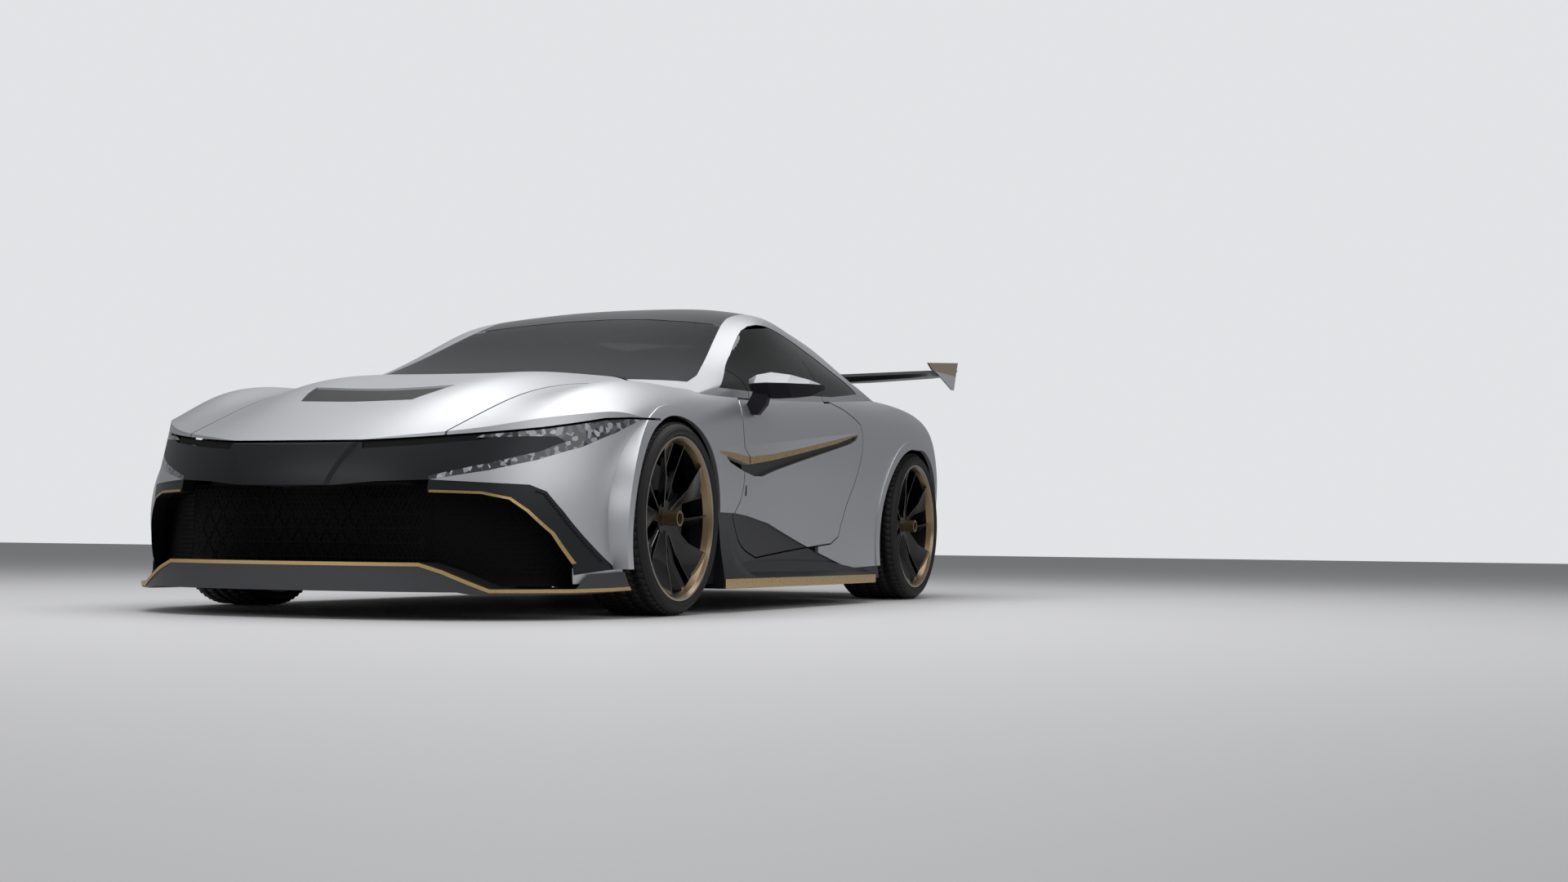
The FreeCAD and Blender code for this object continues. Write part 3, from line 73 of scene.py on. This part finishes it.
# %% [markdown]
# Real paint, metal and plastic are never quite even. A noise pattern moves the roughness a little,
# mixes two close shades, and can lift the surface by a hair. Stretching it gives brushed metal.

# %% Grain for any finish
def add_grain(material, scale, stretch, roughness, shades=None, lift=0.0):
    shader = material.node_tree.nodes["Principled BSDF"]
    place = node(material, "ShaderNodeTexCoord")
    mapping = node(material, "ShaderNodeMapping")
    mapping.inputs["Scale"].default_value = stretch
    noise = node(material, "ShaderNodeTexNoise")
    noise.inputs["Scale"].default_value = scale
    noise.inputs["Detail"].default_value = 4.0
    link(material, place.outputs["Object"], mapping.inputs["Vector"])
    link(material, mapping.outputs["Vector"], noise.inputs["Vector"])
    spread = node(material, "ShaderNodeMapRange")
    spread.inputs["To Min"].default_value = roughness[0]
    spread.inputs["To Max"].default_value = roughness[1]
    link(material, noise.outputs["Fac"], spread.inputs["Value"])
    link(material, spread.outputs["Result"], shader.inputs["Roughness"])
    if shades:
        ramp = node(material, "ShaderNodeValToRGB")
        ramp.color_ramp.elements[0].color = (*shades[0], 1.0)
        ramp.color_ramp.elements[1].color = (*shades[1], 1.0)
        ramp.color_ramp.elements[0].position = 0.35
        ramp.color_ramp.elements[1].position = 0.65
        link(material, noise.outputs["Fac"], ramp.inputs["Fac"])
        link(material, ramp.outputs["Color"], shader.inputs["Base Color"])
    if lift:
        bump = node(material, "ShaderNodeBump")
        bump.inputs["Distance"].default_value = lift
        link(material, noise.outputs["Fac"], bump.inputs["Height"])
        link(material, bump.outputs["Normal"], shader.inputs["Normal"])
    return material


def math_node(material, operation, first, second=None):
    made = node(material, "ShaderNodeMath", operation=operation)
    for i, value in enumerate((first, second)):
        if isinstance(value, float):
            made.inputs[i].default_value = value
        elif value is not None:
            link(material, value, made.inputs[i])
    return made.outputs[0]


def place_axes(material):
    """The X, Y and Z of a point on the object."""
    place = node(material, "ShaderNodeTexCoord")
    split = node(material, "ShaderNodeSeparateXYZ")
    link(material, place.outputs["Object"], split.inputs["Vector"])
    return split.outputs


def paint_masks(material, base, masks):
    """Lays each (mask, colour) over the base colour in turn."""
    color = None
    for mask, tint in masks:
        mix = node(material, "ShaderNodeMix", data_type="RGBA")
        link(material, mask, mix.inputs["Factor"])
        if color:
            link(material, color, mix.inputs["A"])
        else:
            mix.inputs["A"].default_value = (*base, 1.0)
        mix.inputs["B"].default_value = (*tint, 1.0)
        color = mix.outputs["Result"]
    link(material, color, material.node_tree.nodes["Principled BSDF"].inputs["Base Color"])


def dress(material, *names):
    for name in names:
        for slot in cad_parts[name].material_slots:
            slot.material = material
    print(material.name, "on", len(names), "nodes")


def both(name):
    return [name + "_left", name + "_right"]


# %% [markdown]
# What Blender adds is drawn in a bmesh. One helper turns a bmesh into an object with its finish.

# %% From bmesh to object
def to_object(name, bm, material):
    mesh = bpy.data.meshes.new(name)
    bm.to_mesh(mesh)
    bm.free()
    mesh.materials.append(material)
    made = bpy.data.objects.new(name, mesh)
    bpy.context.scene.collection.objects.link(made)
    return made


# %% [markdown]
# The car wears a satin silver paint: a metallic base under a soft clear coat, so highlights spread out.
# The flakes are a very fine noise in the colour.

# %% Silver paint
silver = finish("silver_paint", (0.50, 0.51, 0.53), 0.85, 0.42, Coat_Weight=0.25, Coat_Roughness=0.35)
add_grain(silver, 900.0, (1, 1, 1), (0.39, 0.45), ((0.47, 0.48, 0.50), (0.53, 0.54, 0.56)))
dress(silver, "bonnet", "boot_lid", "roof_rails", "front_bumper", "rear_bumper", *both("front_fender"),
      *both("door"), *both("rear_quarter"))

# %% [markdown]
# The nose panel, the intake frame and the lower sides are dark graphite: nearly black, satin, with a faint
# metal glint. The splitter is the same graphite made lighter and more metallic: painted light for the light
# from above. The roof is gloss black. What lies deep in shade in the intake is black with painted shade:
# darker and duller than the other blacks, for the shade that falls there.

# %% Dark finishes
graphite = finish("graphite", (0.020, 0.021, 0.024), 0.5, 0.36, Specular_IOR_Level=0.35)
add_grain(graphite, 700.0, (1, 1, 1), (0.32, 0.40), ((0.017, 0.018, 0.020), (0.024, 0.025, 0.028)))
dress(graphite, "nose_panel", "intake_frame", "side_skirts", *both("door_trim"))
# The splitter's graphite, made lighter: painted light for the light that falls on it from above.
graphite_with_painted_light = finish("graphite_with_painted_light", (0.085, 0.086, 0.092), 0.85, 0.34)
add_grain(graphite_with_painted_light, 700.0, (1, 1, 1), (0.31, 0.38), ((0.078, 0.079, 0.085), (0.092, 0.093, 0.099)))
dress(graphite_with_painted_light, "front_splitter")
gloss_black = finish("gloss_black", (0.006, 0.006, 0.007), 0.0, 0.08, Coat_Weight=1.0, Coat_Roughness=0.03)
add_grain(gloss_black, 12.0, (1, 1, 1), (0.05, 0.09))
dress(gloss_black, "roof_panel")
satin_black = finish("satin_black", (0.012, 0.012, 0.013), 0.0, 0.5, Specular_IOR_Level=0.35)
add_grain(satin_black, 1200.0, (1, 1, 1), (0.45, 0.6), lift=0.00008)
dress(satin_black, "diffuser", "bonnet_vent", "dashboard", "steering_wheel")
# Black for the grille, fine mesh and teeth, darker and duller than satin black: painted shade for the shade
# in the intake.
black_with_painted_shade = finish("black_with_painted_shade", (0.004, 0.004, 0.0045), 0.0, 0.6, Specular_IOR_Level=0.15)
add_grain(black_with_painted_shade, 900.0, (1, 1, 1), (0.55, 0.7))
dress(black_with_painted_shade, "grille")

# %% [markdown]
# The trim is brushed gold. Noise that is stretched along the car gives the brush marks.

# %% Gold trim
gold = finish("gold", (0.62, 0.42, 0.18), 1.0, 0.26)
add_grain(gold, 60.0, (14, 1, 14), (0.18, 0.40), ((0.50, 0.34, 0.15), (0.74, 0.52, 0.25)), 0.00004)
dress(gold, "gold_strips", *both("door_vane"))

# %% [markdown]
# The windscreen is lightly tinted, and the side and rear windows are nearly black. Both are real glass
# shaders: light goes through and takes the tint on, so the seats stay a hint behind them.

# %% Glass
clear_glass = finish("windscreen_glass", (0.30, 0.33, 0.33), 0.0, 0.02, Transmission_Weight=1.0, IOR=1.45)
dress(clear_glass, "windscreen")
dark_glass = finish("dark_glass", (0.006, 0.0065, 0.007), 0.0, 0.02, Transmission_Weight=0.6, IOR=1.35)
dress(dark_glass, "rear_windows", "quarter_lights", *both("door_glass"))

# %% [markdown]
# What shows less gets one plain finish each: cast and turned metal, leather, the carbon floor, the red lamps.

# %% Plain metals, leather and carbon
steel = finish("steel", (0.32, 0.32, 0.33), 1.0, 0.35)
add_grain(steel, 90.0, (1, 8, 1), (0.28, 0.45))
dress(steel, "rear_hub_carriers", "suspension_arms", "exhaust", *both("knuckle"))
iron = add_grain(finish("iron", (0.12, 0.12, 0.12), 0.7, 0.6), 220.0, (1, 1, 1), (0.5, 0.75), lift=0.0004)
dress(iron, "engine_block")
leather = finish("leather", (0.030, 0.027, 0.025), 0.0, 0.55)
add_grain(leather, 420.0, (1, 1, 1), (0.45, 0.65), ((0.024, 0.021, 0.019), (0.038, 0.034, 0.030)), 0.0005)
dress(leather, "seats")
carbon = finish("carbon", (0.02, 0.02, 0.022), 0.0, 0.4, Coat_Weight=0.6, Coat_Roughness=0.15)
add_grain(carbon, 300.0, (1, 1, 1), (0.3, 0.5))
dress(carbon, "floor_tub")
red_glass = finish("red_glass", (0.35, 0.01, 0.01), 0.0, 0.12, Coat_Weight=1.0)
dress(red_glass, "tail_lamps")

# %% [markdown]
# The wheel has three finishes on one casting: black blades, a bronze barrel and a thin silver lip.
# The distance from the axle tells them apart, so Math nodes turn a point's place into a radius.

# %% Wheel finish
# Each axle's wheels: the axle's y and z, x of the rim's outer face, and the tyre's width and radius
WHEELS = {
    "front": (-1.415, 0.350, 0.985, 0.258, 0.350),
    "rear": (1.415, 0.355, 0.965, 0.308, 0.355),
}
HANDS = (("left", 1), ("right", -1))
SPOKE_BLACK = (0.012, 0.012, 0.013)
BRONZE = (0.24, 0.165, 0.09)
DISC_STEEL = (0.25, 0.25, 0.26)
LIP_SILVER = (0.30, 0.27, 0.23)
# The limit of each colour: a radius, and a depth behind the rim's outer face
BARREL_RADIUS, BARREL_DEPTH = 0.2655, 0.034
LIP_RADIUS, LIP_DEPTH = 0.2885, 0.008
NUT_RADIUS, NUT_DEPTH = 0.0295, 0.064
DISC_RADIUS, DISC_DEPTH = 0.2005, 0.098


def wheel_finish(end):
    axle_y, axle_z, face_x, tyre_width, tyre_radius = WHEELS[end]
    material = finish(end + "_wheel", SPOKE_BLACK, 0.75, 0.3, Coat_Weight=0.4, Coat_Roughness=0.1)

    def calc(operation, first, second=None):
        return math_node(material, operation, first, second)

    x, y, z = place_axes(material)
    across = calc("SUBTRACT", y, axle_y)
    up = calc("SUBTRACT", z, axle_z)
    from_axle = calc("SQRT", calc("ADD", calc("MULTIPLY", across, across), calc("MULTIPLY", up, up)))
    side = calc("ABSOLUTE", x)

    def zone(radius_test, radius, depth_test, depth):
        """One where a point passes both tests, and nought elsewhere."""
        return calc("MULTIPLY", calc(radius_test, from_axle, radius), calc(depth_test, side, face_x - depth))

    barrel = zone("GREATER_THAN", BARREL_RADIUS, "GREATER_THAN", BARREL_DEPTH)
    lip = zone("GREATER_THAN", LIP_RADIUS, "GREATER_THAN", LIP_DEPTH)
    nut = zone("LESS_THAN", NUT_RADIUS, "GREATER_THAN", NUT_DEPTH)
    disc = zone("LESS_THAN", DISC_RADIUS, "LESS_THAN", DISC_DEPTH)
    bronze = calc("MAXIMUM", barrel, nut)
    paint_masks(material, SPOKE_BLACK, ((bronze, BRONZE), (disc, DISC_STEEL), (lip, LIP_SILVER)))
    return material


dress(wheel_finish("front"), *both("wheel_front"))
dress(wheel_finish("rear"), *both("wheel_rear"))

# %% [markdown]
# The mirror housing is silver above and black below. The height of a point decides which.

# %% Mirror finish
MIRROR_EDGE = 0.896
mirror_shell = finish("mirror_shell", (0.5, 0.51, 0.53), 0.8, 0.5, Coat_Weight=0.1, Coat_Roughness=0.5)
mirror_x, mirror_y, mirror_z = place_axes(mirror_shell)
above_edge = math_node(mirror_shell, "GREATER_THAN", mirror_z, MIRROR_EDGE)
paint_masks(mirror_shell, (0.012, 0.012, 0.014), ((above_edge, (0.34, 0.345, 0.36)),))
dress(mirror_shell, *both("mirror"))

# %% [markdown]
# The wing is gloss black. Its end plates carry a gold field above and a silver triangle below, and the same
# kind of mask tells them apart: only points far from the middle get a colour.

# %% Wing finish
WING_BLACK = (0.008, 0.008, 0.009)
PLATE_GOLD = (0.36, 0.27, 0.17)
PLATE_SILVER = (0.62, 0.64, 0.68)
PLATE_SIDE = 0.9076
PLATE_SPLIT = 1.152
wing_paint = finish("wing_paint", WING_BLACK, 0.6, 0.28, Coat_Weight=0.6, Coat_Roughness=0.1)
wing_x, wing_y, wing_z = place_axes(wing_paint)
on_plate = math_node(wing_paint, "GREATER_THAN", math_node(wing_paint, "ABSOLUTE", wing_x), PLATE_SIDE)
below_split = math_node(wing_paint, "LESS_THAN", wing_z, PLATE_SPLIT)
low_plate = math_node(wing_paint, "MULTIPLY", on_plate, below_split)
paint_masks(wing_paint, WING_BLACK, ((on_plate, PLATE_GOLD), (low_plate, PLATE_SILVER)))
dress(wing_paint, "rear_wing")

# %% [markdown]
# The headlamps are clear glass cut like crystal. Voronoi cells give each facet its own tilt.

# %% Crystal lamps
FACETS_PER_METRE = 55.0
crystal = finish("crystal", (0.12, 0.125, 0.135), 0.9, 0.05, Coat_Weight=1.0, Coat_Roughness=0.02)
crystal_place = node(crystal, "ShaderNodeTexCoord")
cells = node(crystal, "ShaderNodeTexVoronoi")
cells.inputs["Scale"].default_value = FACETS_PER_METRE
link(crystal, crystal_place.outputs["Object"], cells.inputs["Vector"])
tilt = node(crystal, "ShaderNodeVectorMath", operation="SUBTRACT")
tilt.inputs[1].default_value = (0.5, 0.5, 0.5)
link(crystal, cells.outputs["Color"], tilt.inputs[0])
facing_out = node(crystal, "ShaderNodeNewGeometry")
lean = node(crystal, "ShaderNodeVectorMath", operation="ADD")
link(crystal, facing_out.outputs["Normal"], lean.inputs[0])
link(crystal, tilt.outputs["Vector"], lean.inputs[1])
straight = node(crystal, "ShaderNodeVectorMath", operation="NORMALIZE")
link(crystal, lean.outputs["Vector"], straight.inputs[0])
link(crystal, straight.outputs["Vector"], crystal.node_tree.nodes["Principled BSDF"].inputs["Normal"])
dress(crystal, "headlamps")

# %% [markdown]
# A tyre is rubber round a rim: a carcass turned from one profile, and tread blocks standing on it.
# One block is copied round the wheel with Spin, which keeps every block the same.

# %% Tyres
rubber = finish("rubber", (0.009, 0.009, 0.0095), 0.0, 0.58, Specular_IOR_Level=0.35)
add_grain(rubber, 500.0, (1, 1, 1), (0.52, 0.68), ((0.007, 0.007, 0.0075), (0.011, 0.011, 0.0115)), 0.0001)
RIM_SEAT = 0.2985
BEAD_RADIUS = 0.283
SIDE_BULGE = 0.004
TREAD_DEPTH = 0.0055
TREAD_EDGE = 0.013
TYRE_STEPS = 96
SMOOTH_AREA = 0.0009
TREAD_ROWS = 5
TREAD_BLOCKS = 72
TREAD_STEP = 2 * math.pi / TREAD_BLOCKS
BLOCK_SHARE = 0.88
BLOCK_SLOPE = 0.3
ROW_GAP = 0.007
# How tall a block is and how far its top lies below the tyre's radius: on the two edge rows, and between
EDGE_BLOCK = (0.012, 0.0022)
MIDDLE_BLOCK = (0.014, 0.0006)


def tyre_profile(face_x, width, radius):
    """The closed section of a tyre as (x, radius), from the outer bead over the tread to the inner bead."""
    out, inn = face_x + SIDE_BULGE, face_x - width - SIDE_BULGE
    rim, low = RIM_SEAT, radius - TREAD_DEPTH
    outer_side = ((face_x - 0.018, BEAD_RADIUS), (face_x - 0.012, rim), (out - 0.002, rim + 0.004),
                  (out + 0.003, rim + 0.012), (out + 0.001, rim + 0.014), (out + 0.0015, rim + 0.022),
                  (out + 0.003, rim + 0.0235), (out + 0.0025, rim + 0.026))
    crown = ((out - 0.004, low - 0.012), (out - 0.016, low - 0.003), (out - 0.030, low),
             (inn + 0.030, low), (inn + 0.016, low - 0.003), (inn + 0.004, low - 0.012))
    inner_side = ((inn - 0.0035, rim + 0.026), (inn - 0.003, rim + 0.016), (inn + 0.002, rim + 0.004),
                  (face_x - width + 0.012, rim), (face_x - width + 0.018, BEAD_RADIUS))
    return outer_side + crown + inner_side


def tyre(name, side, axle_y, axle_z, face_x, width, radius):
    centre = Vector((0, axle_y, axle_z))
    bm = bmesh.new()
    ring = [bm.verts.new((side * x, axle_y, axle_z + r)) for x, r in tyre_profile(face_x, width, radius)]
    edges = [bm.edges.new((ring[i - 1], ring[i])) for i in range(len(ring))]
    bmesh.ops.spin(bm, geom=ring + edges, cent=centre, axis=(1, 0, 0), angle=2 * math.pi,
                   steps=TYRE_STEPS, use_merge=True)
    span = width - 2 * TREAD_EDGE
    for row in range(TREAD_ROWS):
        at = face_x - width + TREAD_EDGE + span * (row + 0.5) / TREAD_ROWS
        odd = row % 2 == 1
        tall, below = EDGE_BLOCK if row in (0, TREAD_ROWS - 1) else MIDDLE_BLOCK
        size = (span / TREAD_ROWS - ROW_GAP, TREAD_STEP * radius * BLOCK_SHARE, tall, 1)
        block = bmesh.ops.create_cube(bm, size=1.0)["verts"]
        shape = Matrix.Translation((side * at, axle_y, axle_z + radius - tall / 2 - below))
        shape = shape @ Matrix.Rotation(BLOCK_SLOPE if odd else -BLOCK_SLOPE, 4, "Z") @ Matrix.Diagonal(size)
        bmesh.ops.transform(bm, matrix=shape, verts=block)
        geom = list({g for v in block for g in [v, *v.link_edges, *v.link_faces]})
        start = TREAD_STEP / 2 if odd else 0.0
        bmesh.ops.rotate(bm, cent=centre, matrix=Matrix.Rotation(start, 3, "X"), verts=block)
        bmesh.ops.spin(bm, geom=geom, cent=centre, axis=(1, 0, 0), angle=TREAD_STEP * (TREAD_BLOCKS - 1),
                       steps=TREAD_BLOCKS - 1, use_duplicate=True)
    bmesh.ops.recalc_face_normals(bm, faces=bm.faces)
    made = to_object(name, bm, rubber)
    for face in made.data.polygons:
        face.use_smooth = len(face.vertices) == 4 and face.area > SMOOTH_AREA
    return made


for end, wheel_sizes in WHEELS.items():
    for hand, side in HANDS:
        node_name = "tyre_%s_%s" % (end, hand)
        made = tyre("treaded_" + node_name, side, *wheel_sizes)
        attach(made, "wheel_%s_%s" % (end, hand))
        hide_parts(node_name)
        print(made.name, len(made.data.polygons), "faces")

# %% [markdown]
# Each small piece rides on the body that carries it, and its slot says what it is made of.

# %% Helper for small parts
def keep(name, bm, material, body):
    """Turns a bmesh into a finished piece that rides on a body."""
    bmesh.ops.recalc_face_normals(bm, faces=bm.faces)
    made = to_object(name, bm, material)
    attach(made, body)
    return made


# %% [markdown]
# Each wheel paddle and blade has two sharp edges that catch the light. Thin rods of a shiny metal, lighter
# than the black blades, are laid along them as a painted highlight for that glint: one cone operator makes a
# rod, and a rotation about the axle carries it to every paddle.

# %% Painted glints along the wheel edges
# Lighter than the black blades: a painted highlight for the glint along the edges.
painted_glint_metal = finish("painted_glint_metal", (0.16, 0.16, 0.17), 0.95, 0.16)
PADDLES = 5
FIRST_TURN = math.radians(14)
# Lines on one paddle and on one blade, as (radius, sideways, depth behind the rim's face)
EDGE_LINES = (
    (0.0, ((0.044, -0.013, 0.058), (0.165, -0.020, 0.034), (0.2717, -0.063, 0.0106))),
    (0.0, ((0.044, 0.012, 0.066), (0.165, 0.034, 0.066), (0.2700, 0.0708, 0.0365))),
    (0.5, ((0.052, -0.007, 0.066), (0.170, -0.014, 0.052), (0.2765, -0.0336, 0.0227))),
)
ROD = 0.0017


def rod(bm, a, b):
    """A thin six-sided rod from a to b."""
    along_rod = b - a
    turn = along_rod.to_track_quat("Z", "Y").to_matrix().to_4x4()
    bmesh.ops.create_cone(bm, segments=6, radius1=ROD, radius2=ROD, depth=along_rod.length + ROD,
                          matrix=Matrix.Translation((a + b) / 2) @ turn, cap_ends=True)


for end, (axle_y, axle_z, face_x, width, radius) in WHEELS.items():
    for hand, side in HANDS:
        bm = bmesh.new()
        for i in range(PADDLES):
            for half_step, line in EDGE_LINES:
                turn = Matrix.Rotation(FIRST_TURN + 2 * math.pi * (i + half_step) / PADDLES, 3, "X")
                points = [turn @ Vector((face_x - deep, across, out)) + Vector((0, axle_y, axle_z))
                          for out, across, deep in line]
                for a, b in zip(points, points[1:]):
                    rod(bm, Vector((side * a.x, a.y, a.z)), Vector((side * b.x, b.y, b.z)))
        keep("wheel_edges_%s_%s" % (end, hand), bm, painted_glint_metal, "wheel_%s_%s" % (end, hand))
print("rods per wheel", PADDLES * len(EDGE_LINES) * 2)

# %% [markdown]
# In front of the coarse grille stands a fine mesh of small triangles. It starts as a grid whose every second
# row is moved half a step, which makes the triangles equal. The Wireframe modifier turns their edges into
# thin bars.

# %% Fine mesh in the intake
MESH_CELL = 0.0187
MESH_ROWS = 19
MESH_LOW = 0.135
MESH_MARGIN = 0.008
MESH_BAR = 0.0022
INTAKE_EDGE = ((0.0, 0.430), (0.33, 0.450), (0.48, 0.452), (0.494, 0.415), (0.639, 0.412), (0.712, 0.394),
               (0.756, 0.355), (0.814, 0.282), (0.850, 0.19))
LIP_EDGE = ((0.0, 0.192), (0.49, 0.192), (0.56, 0.168), (0.689, 0.108), (0.86, 0.108))


def height_at(line, x):
    """The height of a broken line at x, given from the middle outwards."""
    for (x0, z0), (x1, z1) in zip(line, line[1:]):
        if x0 <= x <= x1:
            return z0 + (z1 - z0) * (x - x0) / (x1 - x0)
    return None


def fine_mesh(name, x0, columns, place):
    rise = MESH_CELL * math.sqrt(3) / 2
    bm = bmesh.new()
    grid = bmesh.ops.create_grid(bm, x_segments=columns, y_segments=MESH_ROWS, size=0.5)
    for vert in grid["verts"]:
        row = round((vert.co.y + 0.5) * MESH_ROWS)
        shift = 0.5 if row % 2 else 0.0
        x = x0 + (round((vert.co.x + 0.5) * columns) + shift) * MESH_CELL
        vert.co = (x, place(x), MESH_LOW + row * rise)
    bmesh.ops.triangulate(bm, faces=bm.faces, quad_method="SHORT_EDGE")
    outside = []
    for face in bm.faces:
        centre = face.calc_center_median()
        top, bottom = height_at(INTAKE_EDGE, abs(centre.x)), height_at(LIP_EDGE, abs(centre.x))
        if not top or not bottom or not bottom + MESH_MARGIN < centre.z < top - MESH_MARGIN:
            outside.append(face)
    bmesh.ops.delete(bm, geom=outside, context="FACES")
    made = keep(name, bm, black_with_painted_shade, "chassis")
    wires = made.modifiers.new("wires", "WIREFRAME")
    wires.thickness = MESH_BAR
    wires.offset = 0.0
    print(name, len(made.data.polygons), "triangles before the wires")
    return made


MESH_Y = -2.2915
MESH_BEND = 0.47
MESH_SWEEP = 0.93
SIDE_COLUMNS = 20
RIGHT_START = -MESH_BEND - (SIDE_COLUMNS + 0.5) * MESH_CELL
fine_mesh("fine_mesh_middle", -0.468, 50, lambda x: MESH_Y)
fine_mesh("fine_mesh_left", MESH_BEND, SIDE_COLUMNS, lambda x: MESH_Y + (x - MESH_BEND) * MESH_SWEEP)
fine_mesh("fine_mesh_right", RIGHT_START, SIDE_COLUMNS, lambda x: MESH_Y + (-x - MESH_BEND) * MESH_SWEEP)

# %% [markdown]
# A row of small teeth runs down the outer edge of each intake frame. Every tooth is one cube, scaled and put
# where a ray from ahead meets the frame.

# %% Teeth along the intake frame
TEETH = 30
TOOTH = (0.012, 0.0055, 0.003, 1)
TOOTH_LINE = ((0.770, 0.430), (0.792, 0.418), (0.824, 0.362), (0.872, 0.268), (0.908, 0.195))


def along(line, share):
    """The point at a share of the way along a broken line."""
    lengths = [(Vector(b) - Vector(a)).length for a, b in zip(line, line[1:])]
    left = share * sum(lengths)
    for a, b, length in zip(line, line[1:], lengths):
        if left <= length:
            break
        left -= length
    return Vector(a).lerp(Vector(b), min(left / length, 1.0)), (Vector(b) - Vector(a)).normalized()


RAY_START = -3.0
frame_tree = BVHTree.FromObject(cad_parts["intake_frame"], bpy.context.evaluated_depsgraph_get())
bm = bmesh.new()
for side in (-1, 1):
    for i in range(TEETH):
        (x, z), (across, up) = along(TOOTH_LINE, (i + 0.5) / TEETH)
        hit, normal, face, distance = frame_tree.ray_cast(Vector((side * x, RAY_START, z)), Vector((0, 1, 0)))
        if hit is None:
            continue
        tooth = bmesh.ops.create_cube(bm, size=1.0)["verts"]
        facing = normal.to_track_quat("Z", "Y").to_matrix().to_4x4()
        shape = Matrix.Translation(hit) @ facing @ Matrix.Diagonal(TOOTH)
        bmesh.ops.transform(bm, matrix=shape, verts=tooth)
teeth = keep("frame_teeth", bm, black_with_painted_shade, "chassis")
print("teeth", len(teeth.data.polygons) // 6)

# %% [markdown]
# The studio is a pale floor under a pale sky, with a wide soft light overhead and two softer ones beside
# and ahead.

# %% Studio
FLOOR = 40
FLOOR_Z = -0.001
corners = [(x * FLOOR, y * FLOOR, FLOOR_Z) for x, y in ((-1, -1), (1, -1), (1, 1), (-1, 1))]
bm = bmesh.new()
bm.faces.new([bm.verts.new(corner) for corner in corners])
to_object("studio_floor", bm, finish("studio_pale", (0.62, 0.62, 0.63), 0.0, 0.55))


def soft_light(name, place, target, size, watts):
    lamp = bpy.data.lights.new(name, "AREA")
    lamp.shape = "RECTANGLE"
    lamp.size, lamp.size_y = size
    lamp.energy = watts
    made = bpy.data.objects.new(name, lamp)
    made.location = place
    made.rotation_euler = (Vector(target) - Vector(place)).to_track_quat("-Z", "Y").to_euler()
    bpy.context.scene.collection.objects.link(made)
    return made


soft_light("overhead", (0.0, -0.6, 5.5), (0.0, -0.4, 0.0), (6.0, 9.0), 400)
soft_light("side", (8.0, -2.5, 4.6), (0.6, -0.2, 0.4), (7.0, 4.0), 150)
soft_light("front", (-2.0, -10.5, 4.5), (0.0, -1.8, 0.3), (7.0, 3.5), 130)
world = bpy.data.worlds.new("pale")
bpy.context.scene.world = world
world.use_nodes = True
world_nodes = world.node_tree.nodes
backdrop = world_nodes["Background"]
backdrop.inputs["Color"].default_value = (0.80, 0.81, 0.83, 1)
paths = world_nodes.new("ShaderNodeLightPath")
seen = world_nodes.new("ShaderNodeMapRange")
seen.inputs["To Min"].default_value = 0.3
seen.inputs["To Max"].default_value = 0.95
world.node_tree.links.new(paths.outputs["Is Camera Ray"], seen.inputs["Value"])
world.node_tree.links.new(seen.outputs["Result"], backdrop.inputs["Strength"])
bpy.context.scene.view_settings.view_transform = "Standard"

# %% [markdown]
# The camera stands low in front of the car's left corner, as in the photograph: its place, its aim and
# its slight roll give the same view.

# %% Camera
CAMERA_PLACE = (4.0766, -8.2715, 0.2685)
CAMERA_YAW, CAMERA_PITCH, CAMERA_ROLL = (math.radians(a) for a in (21.4627, 2.7886, 0.6665))
PHOTO_WIDTH = 1920
FOCAL_PIXELS = 2546.37
lens = bpy.data.cameras.new("camera")
lens.sensor_width = 36.0
lens.lens = FOCAL_PIXELS / PHOTO_WIDTH * lens.sensor_width
camera = bpy.data.objects.new("camera", lens)
ahead = Vector((-math.sin(CAMERA_YAW) * math.cos(CAMERA_PITCH), math.cos(CAMERA_YAW) * math.cos(CAMERA_PITCH),
                math.sin(CAMERA_PITCH)))
level = Vector((math.cos(CAMERA_YAW), math.sin(CAMERA_YAW), 0))
above = level.cross(ahead)
right = math.cos(CAMERA_ROLL) * level + math.sin(CAMERA_ROLL) * above
up = -math.sin(CAMERA_ROLL) * level + math.cos(CAMERA_ROLL) * above
camera.matrix_world = Matrix((
    (right.x, up.x, -ahead.x, CAMERA_PLACE[0]), (right.y, up.y, -ahead.y, CAMERA_PLACE[1]),
    (right.z, up.z, -ahead.z, CAMERA_PLACE[2]), (0, 0, 0, 1)))
bpy.context.scene.collection.objects.link(camera)
bpy.context.scene.camera = camera
